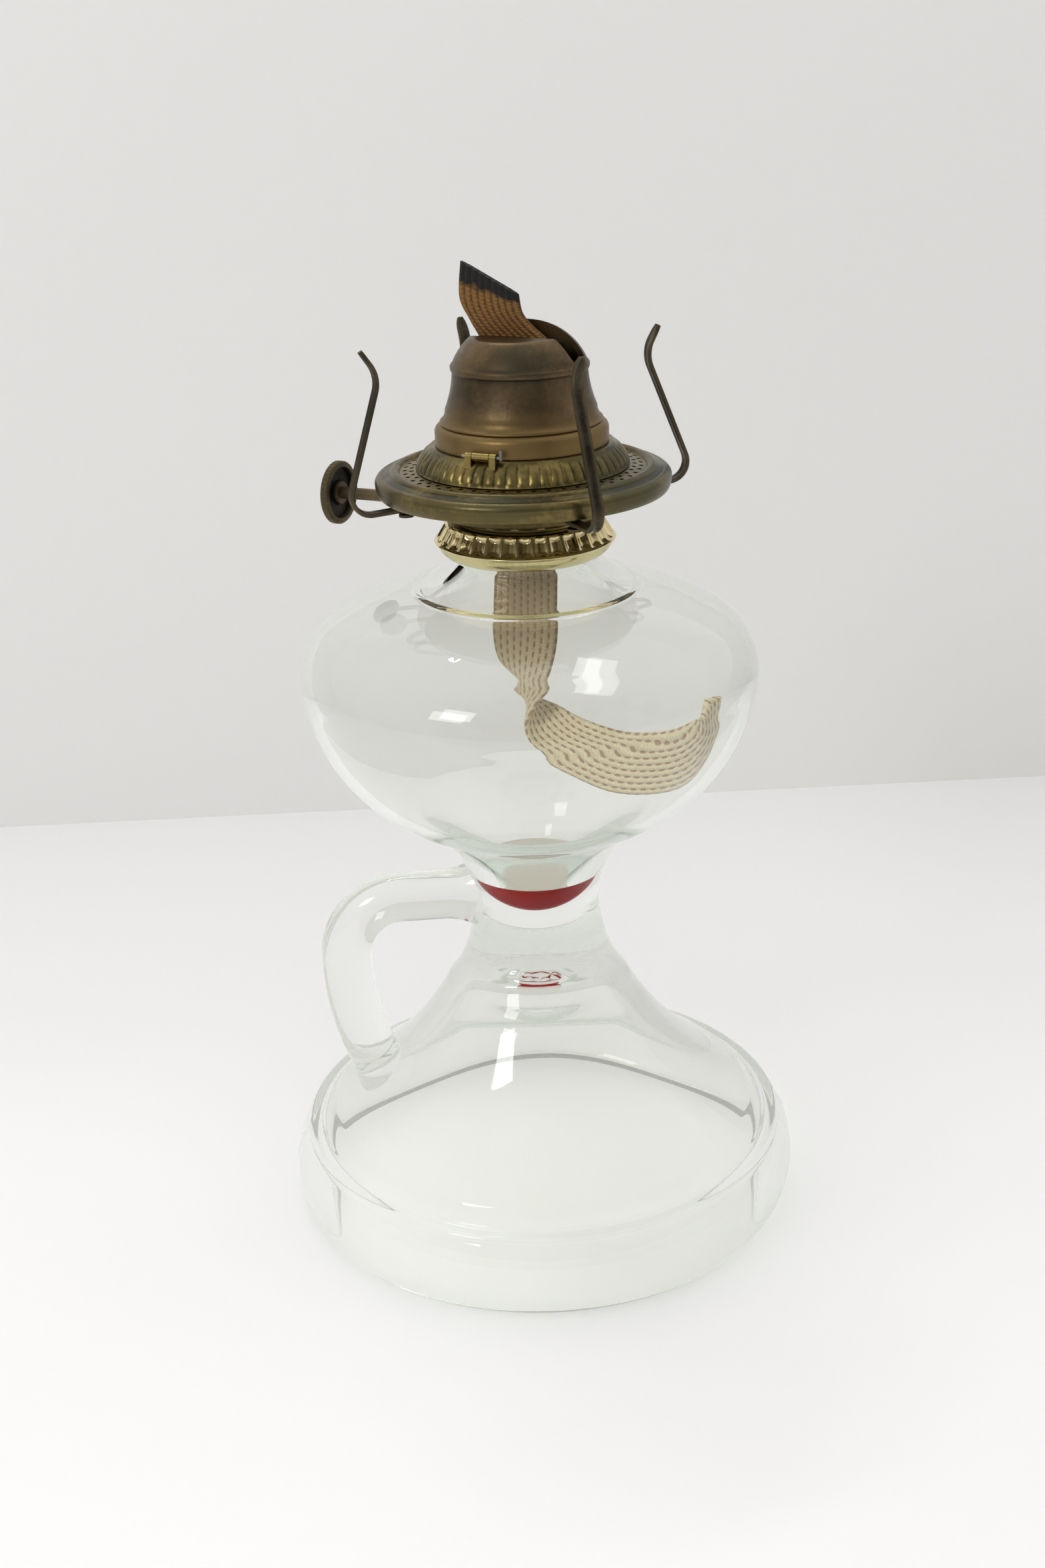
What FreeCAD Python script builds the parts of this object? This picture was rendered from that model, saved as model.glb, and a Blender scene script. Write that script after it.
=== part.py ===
"""A footed glass finger lamp with a flat-wick burner, as separate pieces.

Frame: millimetres, +Z up, the origin at the centre of the ring that the foot stands on.
The handle points along -X. The burner's own frame has the wick winder along its +X and the
dome's hinge on its +Y side, and is turned about Z by burner_turn.
"""
import FreeCAD, Part
import math
import os
import types

import Sketcher
from FreeCAD import Placement, Rotation, Vector

# alias, value in millimetres (degrees for angles, plain counts for counts), note
SIZES = [
    # pressed glass foot
    ("rest_inner", 56.6, "inner radius of the ring the foot stands on"),
    ("rest_outer", 60.8, "outer radius of that ring"),
    ("band_bow", 3.0, "how far the foot's rim band bows out"),
    ("band_radius", 59.4, "radius at the top of the rim band"),
    ("band_top", 19.6, "height of the rim band"),
    ("seam_radius", 58.7, "radius where the bell starts above the mould seam"),
    ("seam_top", 20.5, "height of that start"),
    ("bell_radius", 22.6, "radius where the bell turns into the stem"),
    ("bell_height", 57.0, "height of that turn"),
    ("bell_bow", 3.1, "how far the bell's side is hollowed"),
    ("stem_bow", 0.9, "how far the lower stem is hollowed"),
    ("joint_radius", 16.5, "stem radius where the foot meets the font"),
    ("joint_height", 70.0, "height of that joint"),
    ("hollow_top", 60.5, "top of the hollow under the foot"),
    ("hollow_radius", 19.5, "radius where the hollow turns into its dome"),
    ("hollow_turn", 54.4, "height of that turn"),
    ("hollow_crown", 1.4, "bow of the hollow's dome"),
    ("apex_flat", 2.0, "radius of the small flat at the middle of a domed face"),
    ("hollow_rim_radius", 54.6, "hollow radius above the rim band"),
    ("hollow_rim_height", 17.2, "height of that point"),
    ("hollow_rim_bow", 2.0, "bow of the hollow inside the rim band"),
    # blown glass font
    ("waist_radius", 15.1, "narrowest stem radius"),
    ("waist_height", 80.0, "height of the narrowest stem"),
    ("waist_bow", 0.3, "hollow of the stem below the waist"),
    ("flare_radius", 29.5, "font radius where its flare ends"),
    ("flare_height", 102.0, "height of that point"),
    ("flare_bow", 3.2, "hollow of the flare"),
    ("font_radius", 53.4, "widest font radius"),
    ("font_height", 135.0, "height of the widest part"),
    ("belly_bow", 5.3, "bow of the font's lower side"),
    ("shoulder_radius", 47.0, "radius where the shoulder starts"),
    ("shoulder_height", 149.5, "height of that point"),
    ("shoulder_bow", 2.1, "bow of the font's upper side"),
    ("step_radius", 26.7, "radius at the foot of the shoulder's step"),
    ("step_height", 157.6, "height of the step"),
    ("roof_bow", 1.0, "bow of the shoulder's roof"),
    ("step_top_radius", 26.2, "radius at the top of the step"),
    ("step_top", 158.6, "height of the step's top"),
    ("neck_bow", 1.2, "hollow of the neck's flare"),
    ("neck_radius", 16.4, "outer radius of the neck"),
    ("neck_foot", 165.6, "height where the neck turns upright"),
    ("neck_top", 171.0, "top of the glass neck"),
    ("neck_bore", 13.6, "bore radius of the neck"),
    ("neck_bore_foot", 163.2, "lower end of the neck's bore"),
    ("wall", 2.9, "thickness of the font's wall"),
    ("pool_radius", 11.6, "cavity radius at the fuel's level"),
    ("pool_level", 83.3, "height of the fuel's surface"),
    ("pool_bottom", 76.3, "bottom of the font's cavity"),
    ("pool_bow", 1.9, "bow of the cavity's bottom"),
    ("cup_bow", 2.2, "hollow of the cavity above the fuel"),
    ("skin", 0.05, "gap left between a fill and its container"),
    # applied glass handle
    ("handle_start", 13.9, "distance from the axis where the handle starts"),
    ("handle_height", 80.6, "height of the handle's top bar"),
    ("handle_bar", 19.1, "straight length of the top bar"),
    ("handle_bend", 14.3, "centreline radius of the handle's bend"),
    ("handle_side", 1.5, "straight length below the bend"),
    ("handle_sweep", 72.0, "centreline radius of the handle's lower sweep"),
    ("handle_tail", 3.0, "straight length inside the foot"),
    ("handle_lean", 26.0, "how far the tail leans back to the foot, in degrees"),
    ("handle_section", 6.1, "radius of the handle's section"),
    # brass collar and its plaster
    ("sheet", 0.6, "thickness of the stamped brass"),
    ("skirt_foot", 165.5, "lower edge of the collar's skirt"),
    ("skirt_radius", 17.3, "outer radius at that edge"),
    ("skirt_bow", 0.5, "bow of the skirt"),
    ("lip_radius", 20.8, "radius of the collar's lip"),
    ("lip_height", 169.0, "height of the lip"),
    ("cone_top", 172.9, "top of the collar's cone"),
    ("cone_radius", 18.2, "radius at the top of the cone"),
    ("collar_top", 173.65, "top face of the collar"),
    ("collar_flat", 17.2, "outer radius of the top face"),
    ("sleeve_bore", 11.15, "bore of the collar's screw sleeve"),
    ("sleeve_radius", 11.9, "outer radius of the sleeve"),
    # burner's stampings
    ("burner_turn", 150.0, "direction of the wick winder about Z, in degrees"),
    ("screw_radius", 11.1, "outer radius of the burner's screw shell"),
    ("screw_bore", 10.5, "bore of the screw shell"),
    ("screw_foot", 166.0, "lower end of the screw shell"),
    ("flange_foot", 173.75, "underside of the screw shell's flange"),
    ("flange_radius", 14.9, "radius of that flange"),
    ("bowl_foot", 174.4, "underside of the bowl"),
    ("bowl_bore", 11.6, "hole in the bowl's floor"),
    ("bowl_floor", 14.6, "radius of the bowl's flat floor"),
    ("bowl_turn_radius", 24.5, "radius where the bowl flattens"),
    ("bowl_turn_height", 179.4, "height of that turn"),
    ("bowl_bow", 1.1, "bow of the bowl's steep side"),
    ("bowl_radius", 32.2, "outer radius of the bowl"),
    ("bowl_rim", 181.2, "underside of the bowl at its rim"),
    ("draught_hole", 1.1, "radius of the bowl's draught holes"),
    ("draught_circle", 18.6, "radius of the circle they are on"),
    ("draught_count", 20, "number of draught holes"),
    ("rim_radius", 33.45, "outer radius of the gallery's rolled rim"),
    ("rim_height", 182.6, "height of the rim's widest part"),
    ("rim_foot", 180.3, "lower edge of the rolled rim"),
    ("rim_lip", 31.2, "inner radius of the rim's turned lip"),
    ("rim_shoulder", 31.6, "radius where the rim starts to turn down"),
    ("rim_top", 184.6, "height of that point"),
    ("rim_bow", 0.7, "bow of the rim's turn"),
    ("bead_outer", 30.1, "outer radius of the gallery's bead"),
    ("bead_inner", 27.8, "inner radius of the bead"),
    ("bead_foot", 185.1, "height the bead rises from"),
    ("bead_bow", 0.8, "rise of the bead"),
    ("plate_bore", 23.6, "inner radius of the gallery's plate"),
    ("plate_top", 185.6, "height of the plate at its inner edge"),
    ("lace_hole", 0.55, "radius of the small holes in the plate"),
    ("lace_circle_in", 25.1, "circle radius of the inner row of holes"),
    ("lace_circle_out", 26.6, "circle radius of the outer row of holes"),
    ("lace_count", 48, "number of holes in each row"),
    ("crown_foot", 185.7, "lower edge of the fluted crown"),
    ("crown_radius", 24.2, "radius at that edge"),
    ("crown_shoulder", 20.9, "radius of the crown's shoulder"),
    ("crown_turn", 190.4, "height of the shoulder"),
    ("crown_bow", 0.35, "bow of the crown's side"),
    ("ledge_top", 190.9, "height of the ledge that the dome stands on"),
    ("ledge_radius", 20.2, "outer radius of the ledge"),
    ("ledge_bore", 18.2, "inner radius of the ledge"),
    ("disc_radius", 23.3, "radius of the air distributor"),
    ("disc_foot", 185.0, "underside of the air distributor"),
    ("disc_hole", 0.8, "radius of its holes"),
    ("disc_circle_in", 12.6, "circle radius of its inner row of holes"),
    ("disc_circle_out", 18.8, "circle radius of its outer row of holes"),
    ("disc_count", 24, "number of holes in each row"),
    # wick tube, vent and winder
    ("tube_half_width", 8.65, "half of the wick tube's outer width"),
    ("tube_half_depth", 1.65, "half of the wick tube's outer thickness"),
    ("tube_wall", 0.4, "wall of the wick tube"),
    ("tube_foot", 166.0, "lower end of the wick tube"),
    ("tube_top", 213.3, "upper end of the wick tube"),
    ("tube_gap", 0.15, "gap round the wick tube where it passes a plate"),
    ("window_foot", 172.0, "lower end of the spur wheels' windows"),
    ("window_height", 10.8, "height of those windows"),
    ("window_width", 1.8, "width of each window"),
    ("vent_radius", 1.6, "outer radius of the vent tube"),
    ("vent_offset", 6.6, "distance of the vent tube behind the wick"),
    ("vent_foot", 168.0, "lower end of the vent tube"),
    ("vent_top", 194.0, "upper end of the vent tube"),
    ("spindle_radius", 1.35, "radius of the winder's spindle"),
    ("spindle_offset", 5.8, "distance of the spindle in front of the wick"),
    ("spindle_height", 177.4, "height of the spindle"),
    ("spindle_tail", 9.8, "length of the spindle past the wick's middle"),
    ("spindle_reach", 45.4, "length of the spindle towards the knob"),
    ("running", 0.05, "radial running clearance of a shaft"),
    ("wheel_radius", 4.65, "tip radius of a spur wheel"),
    ("wheel_root", 3.8, "root radius of a spur wheel"),
    ("wheel_width", 1.2, "thickness of a spur wheel"),
    ("wheel_place", 3.8, "distance of each spur wheel from the wick's middle"),
    ("wheel_teeth", 14, "teeth on a spur wheel"),
    ("bracket_half_width", 8.6, "half width of the winder's bracket"),
    ("bracket_sheet", 0.8, "thickness of the bracket"),
    ("bracket_depth", 11.6, "distance of the bracket's front from the wick's middle"),
    ("bracket_foot", 175.1, "lower edge of the bracket"),
    ("bracket_rise", 6.6, "height of the bracket"),
    ("knob_radius", 7.3, "radius of the thumb knob"),
    ("knob_place", 43.9, "distance of the knob's inner face from the wick's middle"),
    ("knob_rim", 1.9, "thickness of the knob's rim"),
    ("knob_web", 0.9, "thickness of the knob's web"),
    ("knob_hub", 2.6, "radius of the knob's hub"),
    ("knob_notches", 40, "notches round the knob"),
    # deflector dome and its hinge
    ("dome_foot", 191.0, "lower edge of the dome"),
    ("dome_base", 19.5, "outer radius of the dome's base band"),
    ("dome_band", 194.2, "top of the base band"),
    ("dome_bead", 17.9, "radius of the bead above the base band"),
    ("dome_bead_height", 196.1, "height of that bead"),
    ("dome_flank", 17.0, "radius at the foot of the dome's wall"),
    ("dome_flank_height", 198.8, "height of that point"),
    ("dome_wall", 15.1, "radius at the top of the wall"),
    ("dome_wall_height", 206.9, "height of that point"),
    ("dome_ring", 15.5, "radius of the upper bead"),
    ("dome_ring_height", 207.8, "height of the upper bead"),
    ("dome_cap", 15.0, "radius where the dome's cap starts"),
    ("dome_cap_height", 208.8, "height of that point"),
    ("dome_top", 217.5, "top of the dome"),
    ("dome_cap_bow", 2.35, "bow of the dome's cap"),
    ("dome_sheet", 0.55, "thickness of the dome"),
    ("slot_half_length", 14.9, "half length of the flame slot"),
    ("slot_half_width", 3.5, "half width of the flame slot"),
    ("slot_foot", 208.9, "lower end of the flame slot"),
    ("hinge_offset", 20.9, "distance of the hinge pin from the axis"),
    ("hinge_height", 191.75, "height of the hinge pin"),
    ("pin_radius", 0.45, "radius of the hinge pin"),
    ("pin_reach", 4.6, "half length of the hinge pin"),
    ("pin_hook", 2.2, "length of the pin's bent end"),
    ("knuckle_radius", 0.95, "outer radius of the hinge's knuckles"),
    ("knuckle_half", 2.0, "half length of the dome's knuckle"),
    ("knuckle_gap", 0.15, "gap between knuckles"),
    ("ear_width", 1.5, "width of each ear on the crown"),
    ("leaf_foot", 191.6, "underside of the hinge leaf"),
    # chimney prongs
    ("prong_spread", 48.0, "angle between a prong and the hinge's line, in degrees"),
    ("prong_root", 25.1, "distance of a prong's root from the axis"),
    ("prong_height", 178.3, "height of a prong's root"),
    ("prong_foot_length", 10.0, "length of the prong under the gallery"),
    ("prong_heel", 4.4, "bend radius at the prong's foot"),
    ("prong_leg", 22.3, "length of the prong's leg"),
    ("prong_leg_heading", 111.0, "direction of the leg from level, in degrees"),
    ("prong_neck", 7.0, "bend radius at the prong's waist"),
    ("prong_tip", 3.4, "length of the turned-out tip"),
    ("prong_tip_heading", 60.0, "direction of the tip from level, in degrees"),
    ("prong_half_width", 1.35, "half width of the prong's strip"),
    ("prong_half_depth", 0.55, "half thickness of the strip"),
    ("rivet_place", 2.4, "distance of the rivet from the prong's root"),
    ("rivet_radius", 0.9, "radius of a rivet's shank"),
    ("rivet_play", 0.2, "play of the prong on its rivet"),
    ("rivet_head", 1.7, "radius of a rivet's head"),
    ("rivet_head_height", 0.6, "height of a rivet's head"),
    ("rivet_foot", 176.6, "underside of a rivet"),
    ("rivet_top", 181.1, "height of a rivet's upper head"),
    # wick
    ("wick_half_width", 7.95, "half of the wick's width"),
    ("wick_half_depth", 1.0, "half of the wick's thickness"),
    ("wick_cut", 172.0, "height where the lifted part of the wick ends"),
]

# how far each prong is bent out of line, in degrees outward, by use
PRONG_LEANS = {"prong_hinge_left": 4.0, "prong_hinge_right": -1.0, "prong_back_left": 3.0, "prong_back_right": -1.0}


class Size:
    """A length that keeps both its value and the spreadsheet expression that gives it."""

    def __init__(self, value, text):
        self.value = value
        self.text = text

    @staticmethod
    def of(number):
        return number if isinstance(number, Size) else Size(float(number), repr(float(number)))

    def __add__(self, other):
        other = Size.of(other)
        return Size(self.value + other.value, f"({self.text} + {other.text})")

    def __sub__(self, other):
        other = Size.of(other)
        return Size(self.value - other.value, f"({self.text} - {other.text})")

    def __rsub__(self, other):
        return Size.of(other) - self

    def __mul__(self, other):
        other = Size.of(other)
        return Size(self.value * other.value, f"({self.text} * {other.text})")

    def __truediv__(self, other):
        other = Size.of(other)
        return Size(self.value / other.value, f"({self.text} / {other.text})")

    def __neg__(self):
        return Size(-self.value, f"(0 - {self.text})")


doc = FreeCAD.newDocument("finger_lamp")
sheet = doc.addObject("Spreadsheet::Sheet", "Sizes")
for row, (alias, number, note) in enumerate(SIZES, start=1):
    sheet.set(f"A{row}", note)
    sheet.set(f"B{row}", str(number))
    sheet.setAlias(f"B{row}", alias)
doc.recompute()
size = types.SimpleNamespace(
    **{alias: Size(float(sheet.get(alias)), f"Sizes.{alias}") for alias, number, note in SIZES}
)
ZERO = Size.of(0)
QUARTER_BOW = 1 - math.cos(math.pi / 4)
SUB_PARTS = []


# ---------------------------------------------------------------- sketches and features
def new_body(label):
    """A PartDesign body that becomes one named sub-part."""
    body = doc.addObject("PartDesign::Body", label)
    body.Label = label
    return body


def sub_part(obj, label, placement=Placement()):
    """Names a finished sub-part, places it and lists it for export."""
    obj.Label = label
    obj.Placement = placement
    SUB_PARTS.append(obj)
    return obj


def new_sketch(body, role, height=ZERO):
    """A sketch on one of the body's own origin planes, raised along the plane's normal."""
    sketch = body.newObject("Sketcher::SketchObject", f"{body.Name}_sketch")
    plane = [feature for feature in body.Origin.OriginFeatures if feature.Role == role][0]
    sketch.AttachmentSupport = [(plane, "")]
    sketch.MapMode = "FlatFace"
    if height is not ZERO:
        sketch.AttachmentOffset = Placement(Vector(0, 0, height.value), Rotation())
        sketch.setExpression("AttachmentOffset.Base.z", height.text)
    return sketch


def bind(sketch, constraint, value):
    """Adds a dimension to a sketch and binds it to the spreadsheet."""
    index = sketch.addConstraint(constraint)
    if value.text.startswith(("Sizes", "(")):
        sketch.setExpression(f"Constraints[{index}]", value.text)


def fix_point(sketch, geometry, end, x, y):
    """Dimensions a point from the sketch's origin; a zero puts it on the axis instead."""
    if x.value == 0:
        sketch.addConstraint(Sketcher.Constraint("PointOnObject", geometry, end, -2))
    else:
        bind(sketch, Sketcher.Constraint("DistanceX", -1, 1, geometry, end, x.value), x)
    if y.value == 0:
        sketch.addConstraint(Sketcher.Constraint("PointOnObject", geometry, end, -1))
    else:
        bind(sketch, Sketcher.Constraint("DistanceY", -1, 1, geometry, end, y.value), y)


def arc_about(centre, start, end):
    """The anticlockwise arc from start to end."""
    first = math.atan2(start.y - centre.y, start.x - centre.x)
    last = math.atan2(end.y - centre.y, end.x - centre.x)
    if last <= first:
        last += 2 * math.pi
    circle = Part.Circle(centre, Vector(0, 0, 1), (start - centre).Length)
    return Part.ArcOfCircle(circle, first, last)


def bowed_edge(start, end, bow):
    """An arc that bows out to the right of the way from start to end, or to the left if bow < 0."""
    span = end - start
    left = Vector(-span.y, span.x, 0).normalize()
    radius = (span.Length ** 2 / 4 + bow ** 2) / (2 * abs(bow))
    centre = (start + end) / 2 + left * math.copysign(radius - abs(bow), bow)
    return arc_about(centre, start, end) if bow > 0 else arc_about(centre, end, start)


def add_outline(sketch, outline):
    """A closed outline. Each entry is (x, y), or (x, y, bow) when an arc leads to it."""
    points = [(Size.of(entry[0]), Size.of(entry[1])) for entry in outline]
    flat = [Vector(x.value, y.value, 0) for x, y in points]
    ends = []
    for i, entry in enumerate(outline):
        start, end = flat[i - 1], flat[i]
        if len(entry) == 3:
            bow = Size.of(entry[2])
            geometry = sketch.addGeometry(bowed_edge(start, end, bow.value))
            run_x = points[i][0] - points[i - 1][0]
            run_y = points[i][1] - points[i - 1][1]
            chord_squared = run_x * run_x + run_y * run_y
            radius = (chord_squared / 4 + bow * bow) / (bow * 2)
            if bow.value < 0:
                radius = -radius
            bind(sketch, Sketcher.Constraint("Radius", geometry, radius.value), radius)
            ends.append((geometry, 1, 2) if bow.value > 0 else (geometry, 2, 1))
        else:
            geometry = sketch.addGeometry(Part.LineSegment(start, end))
            ends.append((geometry, 1, 2))
    for i, (geometry, first, last) in enumerate(ends):
        following, following_first, _ = ends[(i + 1) % len(ends)]
        sketch.addConstraint(
            Sketcher.Constraint("Coincident", geometry, last, following, following_first)
        )
        fix_point(sketch, geometry, last, *points[i])


def add_circle(sketch, x, y, radius):
    """A circle, dimensioned from the sketch's origin."""
    centre = Vector(Size.of(x).value, Size.of(y).value, 0)
    geometry = sketch.addGeometry(Part.Circle(centre, Vector(0, 0, 1), radius.value))
    bind(sketch, Sketcher.Constraint("Radius", geometry, radius.value), radius)
    fix_point(sketch, geometry, 3, Size.of(x), Size.of(y))


def add_bent_path(sketch, steps):
    """A path of straight runs (length, heading in degrees) with a bend radius between each two."""
    position = Vector(0, 0, 0)
    previous = None
    heading = steps[0][1].value
    for step in steps:
        if not isinstance(step, tuple):
            bend = step
            continue
        length, wanted = step
        if previous is not None:
            turn = math.radians(wanted.value - heading)
            side = math.copysign(1, turn)
            here = math.radians(heading)
            inward = Vector(-math.sin(here), math.cos(here), 0) * side
            centre = position + inward * bend.value
            turned = Rotation(Vector(0, 0, 1), math.degrees(turn))
            end = centre + turned.multVec(position - centre)
            bend_arc = arc_about(centre, position, end) if side > 0 else arc_about(centre, end, position)
            arc = sketch.addGeometry(bend_arc)
            arc_first, arc_last = (1, 2) if side > 0 else (2, 1)
            sketch.addConstraint(Sketcher.Constraint("Tangent", previous, 2, arc, arc_first))
            bind(sketch, Sketcher.Constraint("Radius", arc, bend.value), bend)
            position = end
            heading = wanted.value
        direction = Vector(math.cos(math.radians(heading)), math.sin(math.radians(heading)), 0)
        line = sketch.addGeometry(Part.LineSegment(position, position + direction * length.value))
        if previous is None:
            sketch.addConstraint(Sketcher.Constraint("Coincident", line, 1, -1, 1))
        else:
            sketch.addConstraint(Sketcher.Constraint("Tangent", arc, arc_last, line, 1))
        bind(sketch, Sketcher.Constraint("Distance", line, length.value), length)
        sketch.addConstraint(Sketcher.Constraint("Angle", line, math.radians(heading)))
        position = position + direction * length.value
        previous = line


def revolve(body, outline):
    """Turns an (r, z) outline about the body's Z axis."""
    sketch = new_sketch(body, "XZ_Plane")
    add_outline(sketch, outline)
    feature = body.newObject("PartDesign::Revolution", f"{body.Name}_turned")
    feature.Profile = sketch
    feature.ReferenceAxis = (sketch, ["V_Axis"])
    feature.Angle = 360
    doc.recompute()
    return feature


def pad(body, role, shapes, length, height=ZERO, symmetric=False):
    """Adds material: outlines or circles on an origin plane, pushed out by length."""
    sketch = new_sketch(body, role, height)
    for shape in shapes:
        add_outline(sketch, shape) if isinstance(shape, list) else add_circle(sketch, *shape)
    feature = body.newObject("PartDesign::Pad", f"{body.Name}_pad")
    feature.Profile = sketch
    feature.setExpression("Length", length.text)
    feature.SideType = "Symmetric" if symmetric else "One side"
    doc.recompute()
    return feature


def pocket(body, role, shapes, length, height=ZERO, symmetric=False, upward=True):
    """Takes material away along the plane's normal, and checks that something was cut."""
    before = body.Shape.Volume
    sketch = new_sketch(body, role, height)
    for shape in shapes:
        add_outline(sketch, shape) if isinstance(shape, list) else add_circle(sketch, *shape)
    feature = body.newObject("PartDesign::Pocket", f"{body.Name}_pocket")
    feature.Profile = sketch
    feature.setExpression("Length", length.text)
    feature.SideType = "Symmetric" if symmetric else "One side"
    feature.Reversed = upward and not symmetric
    doc.recompute()
    if body.Shape.Volume >= before:
        raise RuntimeError(f"{feature.Name} cut nothing")
    return feature


def repeat_round(body, features, count):
    """Repeats features round the body's Z axis."""
    pattern = body.newObject("PartDesign::PolarPattern", f"{body.Name}_round")
    pattern.Originals = features
    axis = [feature for feature in body.Origin.OriginFeatures if feature.Role == "Z_Axis"][0]
    pattern.Axis = (axis, [""])
    pattern.Angle = 360
    pattern.setExpression("Occurrences", count.text)
    body.Tip = pattern
    doc.recompute()
    return pattern


def sweep(body, steps, half_width, half_depth):
    """A strip or rod along a bent path in the XZ plane, from the origin; round if half_depth is None."""
    path = new_sketch(body, "XZ_Plane")
    add_bent_path(path, steps)
    section = new_sketch(body, "YZ_Plane")
    if half_depth is None:
        add_circle(section, 0, 0, half_width)
    else:
        add_outline(section, box_outline(-half_width, half_width, -half_depth, half_depth))
    pipe = body.newObject("PartDesign::AdditivePipe", f"{body.Name}_pipe")
    pipe.Profile = section
    pipe.Spine = path
    doc.recompute()
    return pipe


def box_outline(x_low, x_high, y_low, y_high):
    return [(x_low, y_low), (x_high, y_low), (x_high, y_high), (x_low, y_high)]


def in_burner(x=0.0, y=0.0, z=0.0, rotation=Rotation()):
    """A placement given in the burner's own frame, in the lamp's frame."""
    turned = Placement(Vector(), Rotation(Vector(0, 0, 1), size.burner_turn.value))
    return turned.multiply(Placement(Vector(x, y, z), rotation))


# ---------------------------------------------------------------- glass
def foot_side():
    """The foot's outer side from the ring it stands on up to the joint in the stem."""
    return [
        (size.rest_outer, 0),
        (size.band_radius, size.band_top, size.band_bow),
        (size.seam_radius, size.seam_top),
        (size.bell_radius, size.bell_height, -size.bell_bow),
        (size.joint_radius, size.joint_height, -size.stem_bow),
    ]


def font_side():
    """The font's outer side from the joint in the stem up to the shoulder's step."""
    return [
        (size.joint_radius, size.joint_height),
        (size.waist_radius, size.waist_height, -size.waist_bow),
        (size.flare_radius, size.flare_height, -size.flare_bow),
        (size.font_radius, size.font_height, size.belly_bow),
        (size.shoulder_radius, size.shoulder_height, size.shoulder_bow),
        (size.step_radius, size.step_height, size.roof_bow),
        (size.step_top_radius, size.step_top),
        (size.neck_radius, size.neck_foot, -size.neck_bow),
        (size.neck_radius, size.neck_top),
    ]


def make_glass():
    """The foot, stem and font. They are one piece of glass, made here as rings of its profile."""
    wall = size.wall
    seam = (size.seam_radius, size.seam_top)
    hollow_rim = (size.hollow_rim_radius, size.hollow_rim_height)
    bell = (size.bell_radius, size.bell_height)
    hollow_turn = (size.hollow_radius, size.hollow_turn)
    joint = (size.joint_radius, size.joint_height)
    flare = (size.flare_radius, size.flare_height)
    flare_inside = (size.flare_radius - 2.3, size.flare_height + 1.6)
    shoulder = (size.shoulder_radius, size.shoulder_height)
    shoulder_inside = (size.shoulder_radius - 2.4, size.shoulder_height - 2.3)
    rings = {
        "glass_foot_rim": [
            (size.rest_inner, 0, -size.hollow_rim_bow),
            (size.rest_outer, 0),
            (size.band_radius, size.band_top, size.band_bow),
            seam,
            hollow_rim,
        ],
        "glass_foot_bell": [
            seam,
            (*bell, -size.bell_bow),
            hollow_turn,
            (*hollow_rim, size.bell_bow),
        ],
        "glass_stem": [
            bell,
            (*joint, -size.stem_bow),
            (0, size.joint_height),
            (0, size.hollow_top),
            (size.apex_flat, size.hollow_top),
            (*hollow_turn, -size.hollow_crown),
        ],
        "glass_font_base": [
            joint,
            (size.waist_radius, size.waist_height, -size.waist_bow),
            (*flare, -size.flare_bow),
            flare_inside,
            (size.pool_radius, size.pool_level, size.cup_bow),
            (size.apex_flat, size.pool_bottom, -size.pool_bow),
            (0, size.pool_bottom),
            (0, size.joint_height),
        ],
        "glass_font_belly": [
            flare,
            (size.font_radius, size.font_height, size.belly_bow),
            (*shoulder, size.shoulder_bow),
            shoulder_inside,
            (size.font_radius - wall, size.font_height, -size.shoulder_bow),
            (*flare_inside, -size.belly_bow),
        ],
        "glass_font_shoulder": [
            shoulder,
            (size.step_radius, size.step_height, size.roof_bow),
            (size.step_top_radius, size.step_top),
            (size.neck_radius, size.neck_foot, -size.neck_bow),
            (size.neck_radius, size.neck_top),
            (size.neck_bore, size.neck_top),
            (size.neck_bore, size.neck_bore_foot),
            (size.step_top_radius - 2.2, size.step_top - wall, size.neck_bow),
            (size.step_radius - 2.1, size.step_height - wall),
            (*shoulder_inside, -size.roof_bow),
        ],
    }
    for label, outline in rings.items():
        body = new_body(label)
        revolve(body, outline)
        sub_part(body, label)


def make_handle():
    """The handle is a bent glass rod, trimmed where it is fused to the stem and the foot."""
    rod = new_body("handle_rod")
    level = Size.of(180)
    down = Size.of(270)
    steps = [
        (size.handle_bar, level),
        size.handle_bend,
        (size.handle_side, down),
        size.handle_sweep,
        (size.handle_tail, down + size.handle_lean),
    ]
    sweep(rod, steps, size.handle_section, None)
    rod.Placement = Placement(Vector(-size.handle_start.value, 0, size.handle_height.value), Rotation())
    solid_glass = new_body("solid_glass")
    revolve(solid_glass, foot_side() + font_side()[1:] + [(0, size.neck_top), (0, 0)])
    handle = doc.addObject("Part::Cut", "glass_handle")
    handle.Base = rod
    handle.Tool = solid_glass
    doc.recompute()
    return sub_part(handle, "glass_handle")


def make_fuel():
    """The last of the fuel, in the bottom of the font."""
    body = new_body("fuel_pool")
    edge = size.pool_radius - size.skin
    floor = size.pool_bottom + size.skin
    outline = [
        (0, floor),
        (size.apex_flat, floor),
        (edge, size.pool_level, size.pool_bow),
        (0, size.pool_level),
    ]
    revolve(body, outline)
    return sub_part(body, "fuel_pool")


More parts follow.
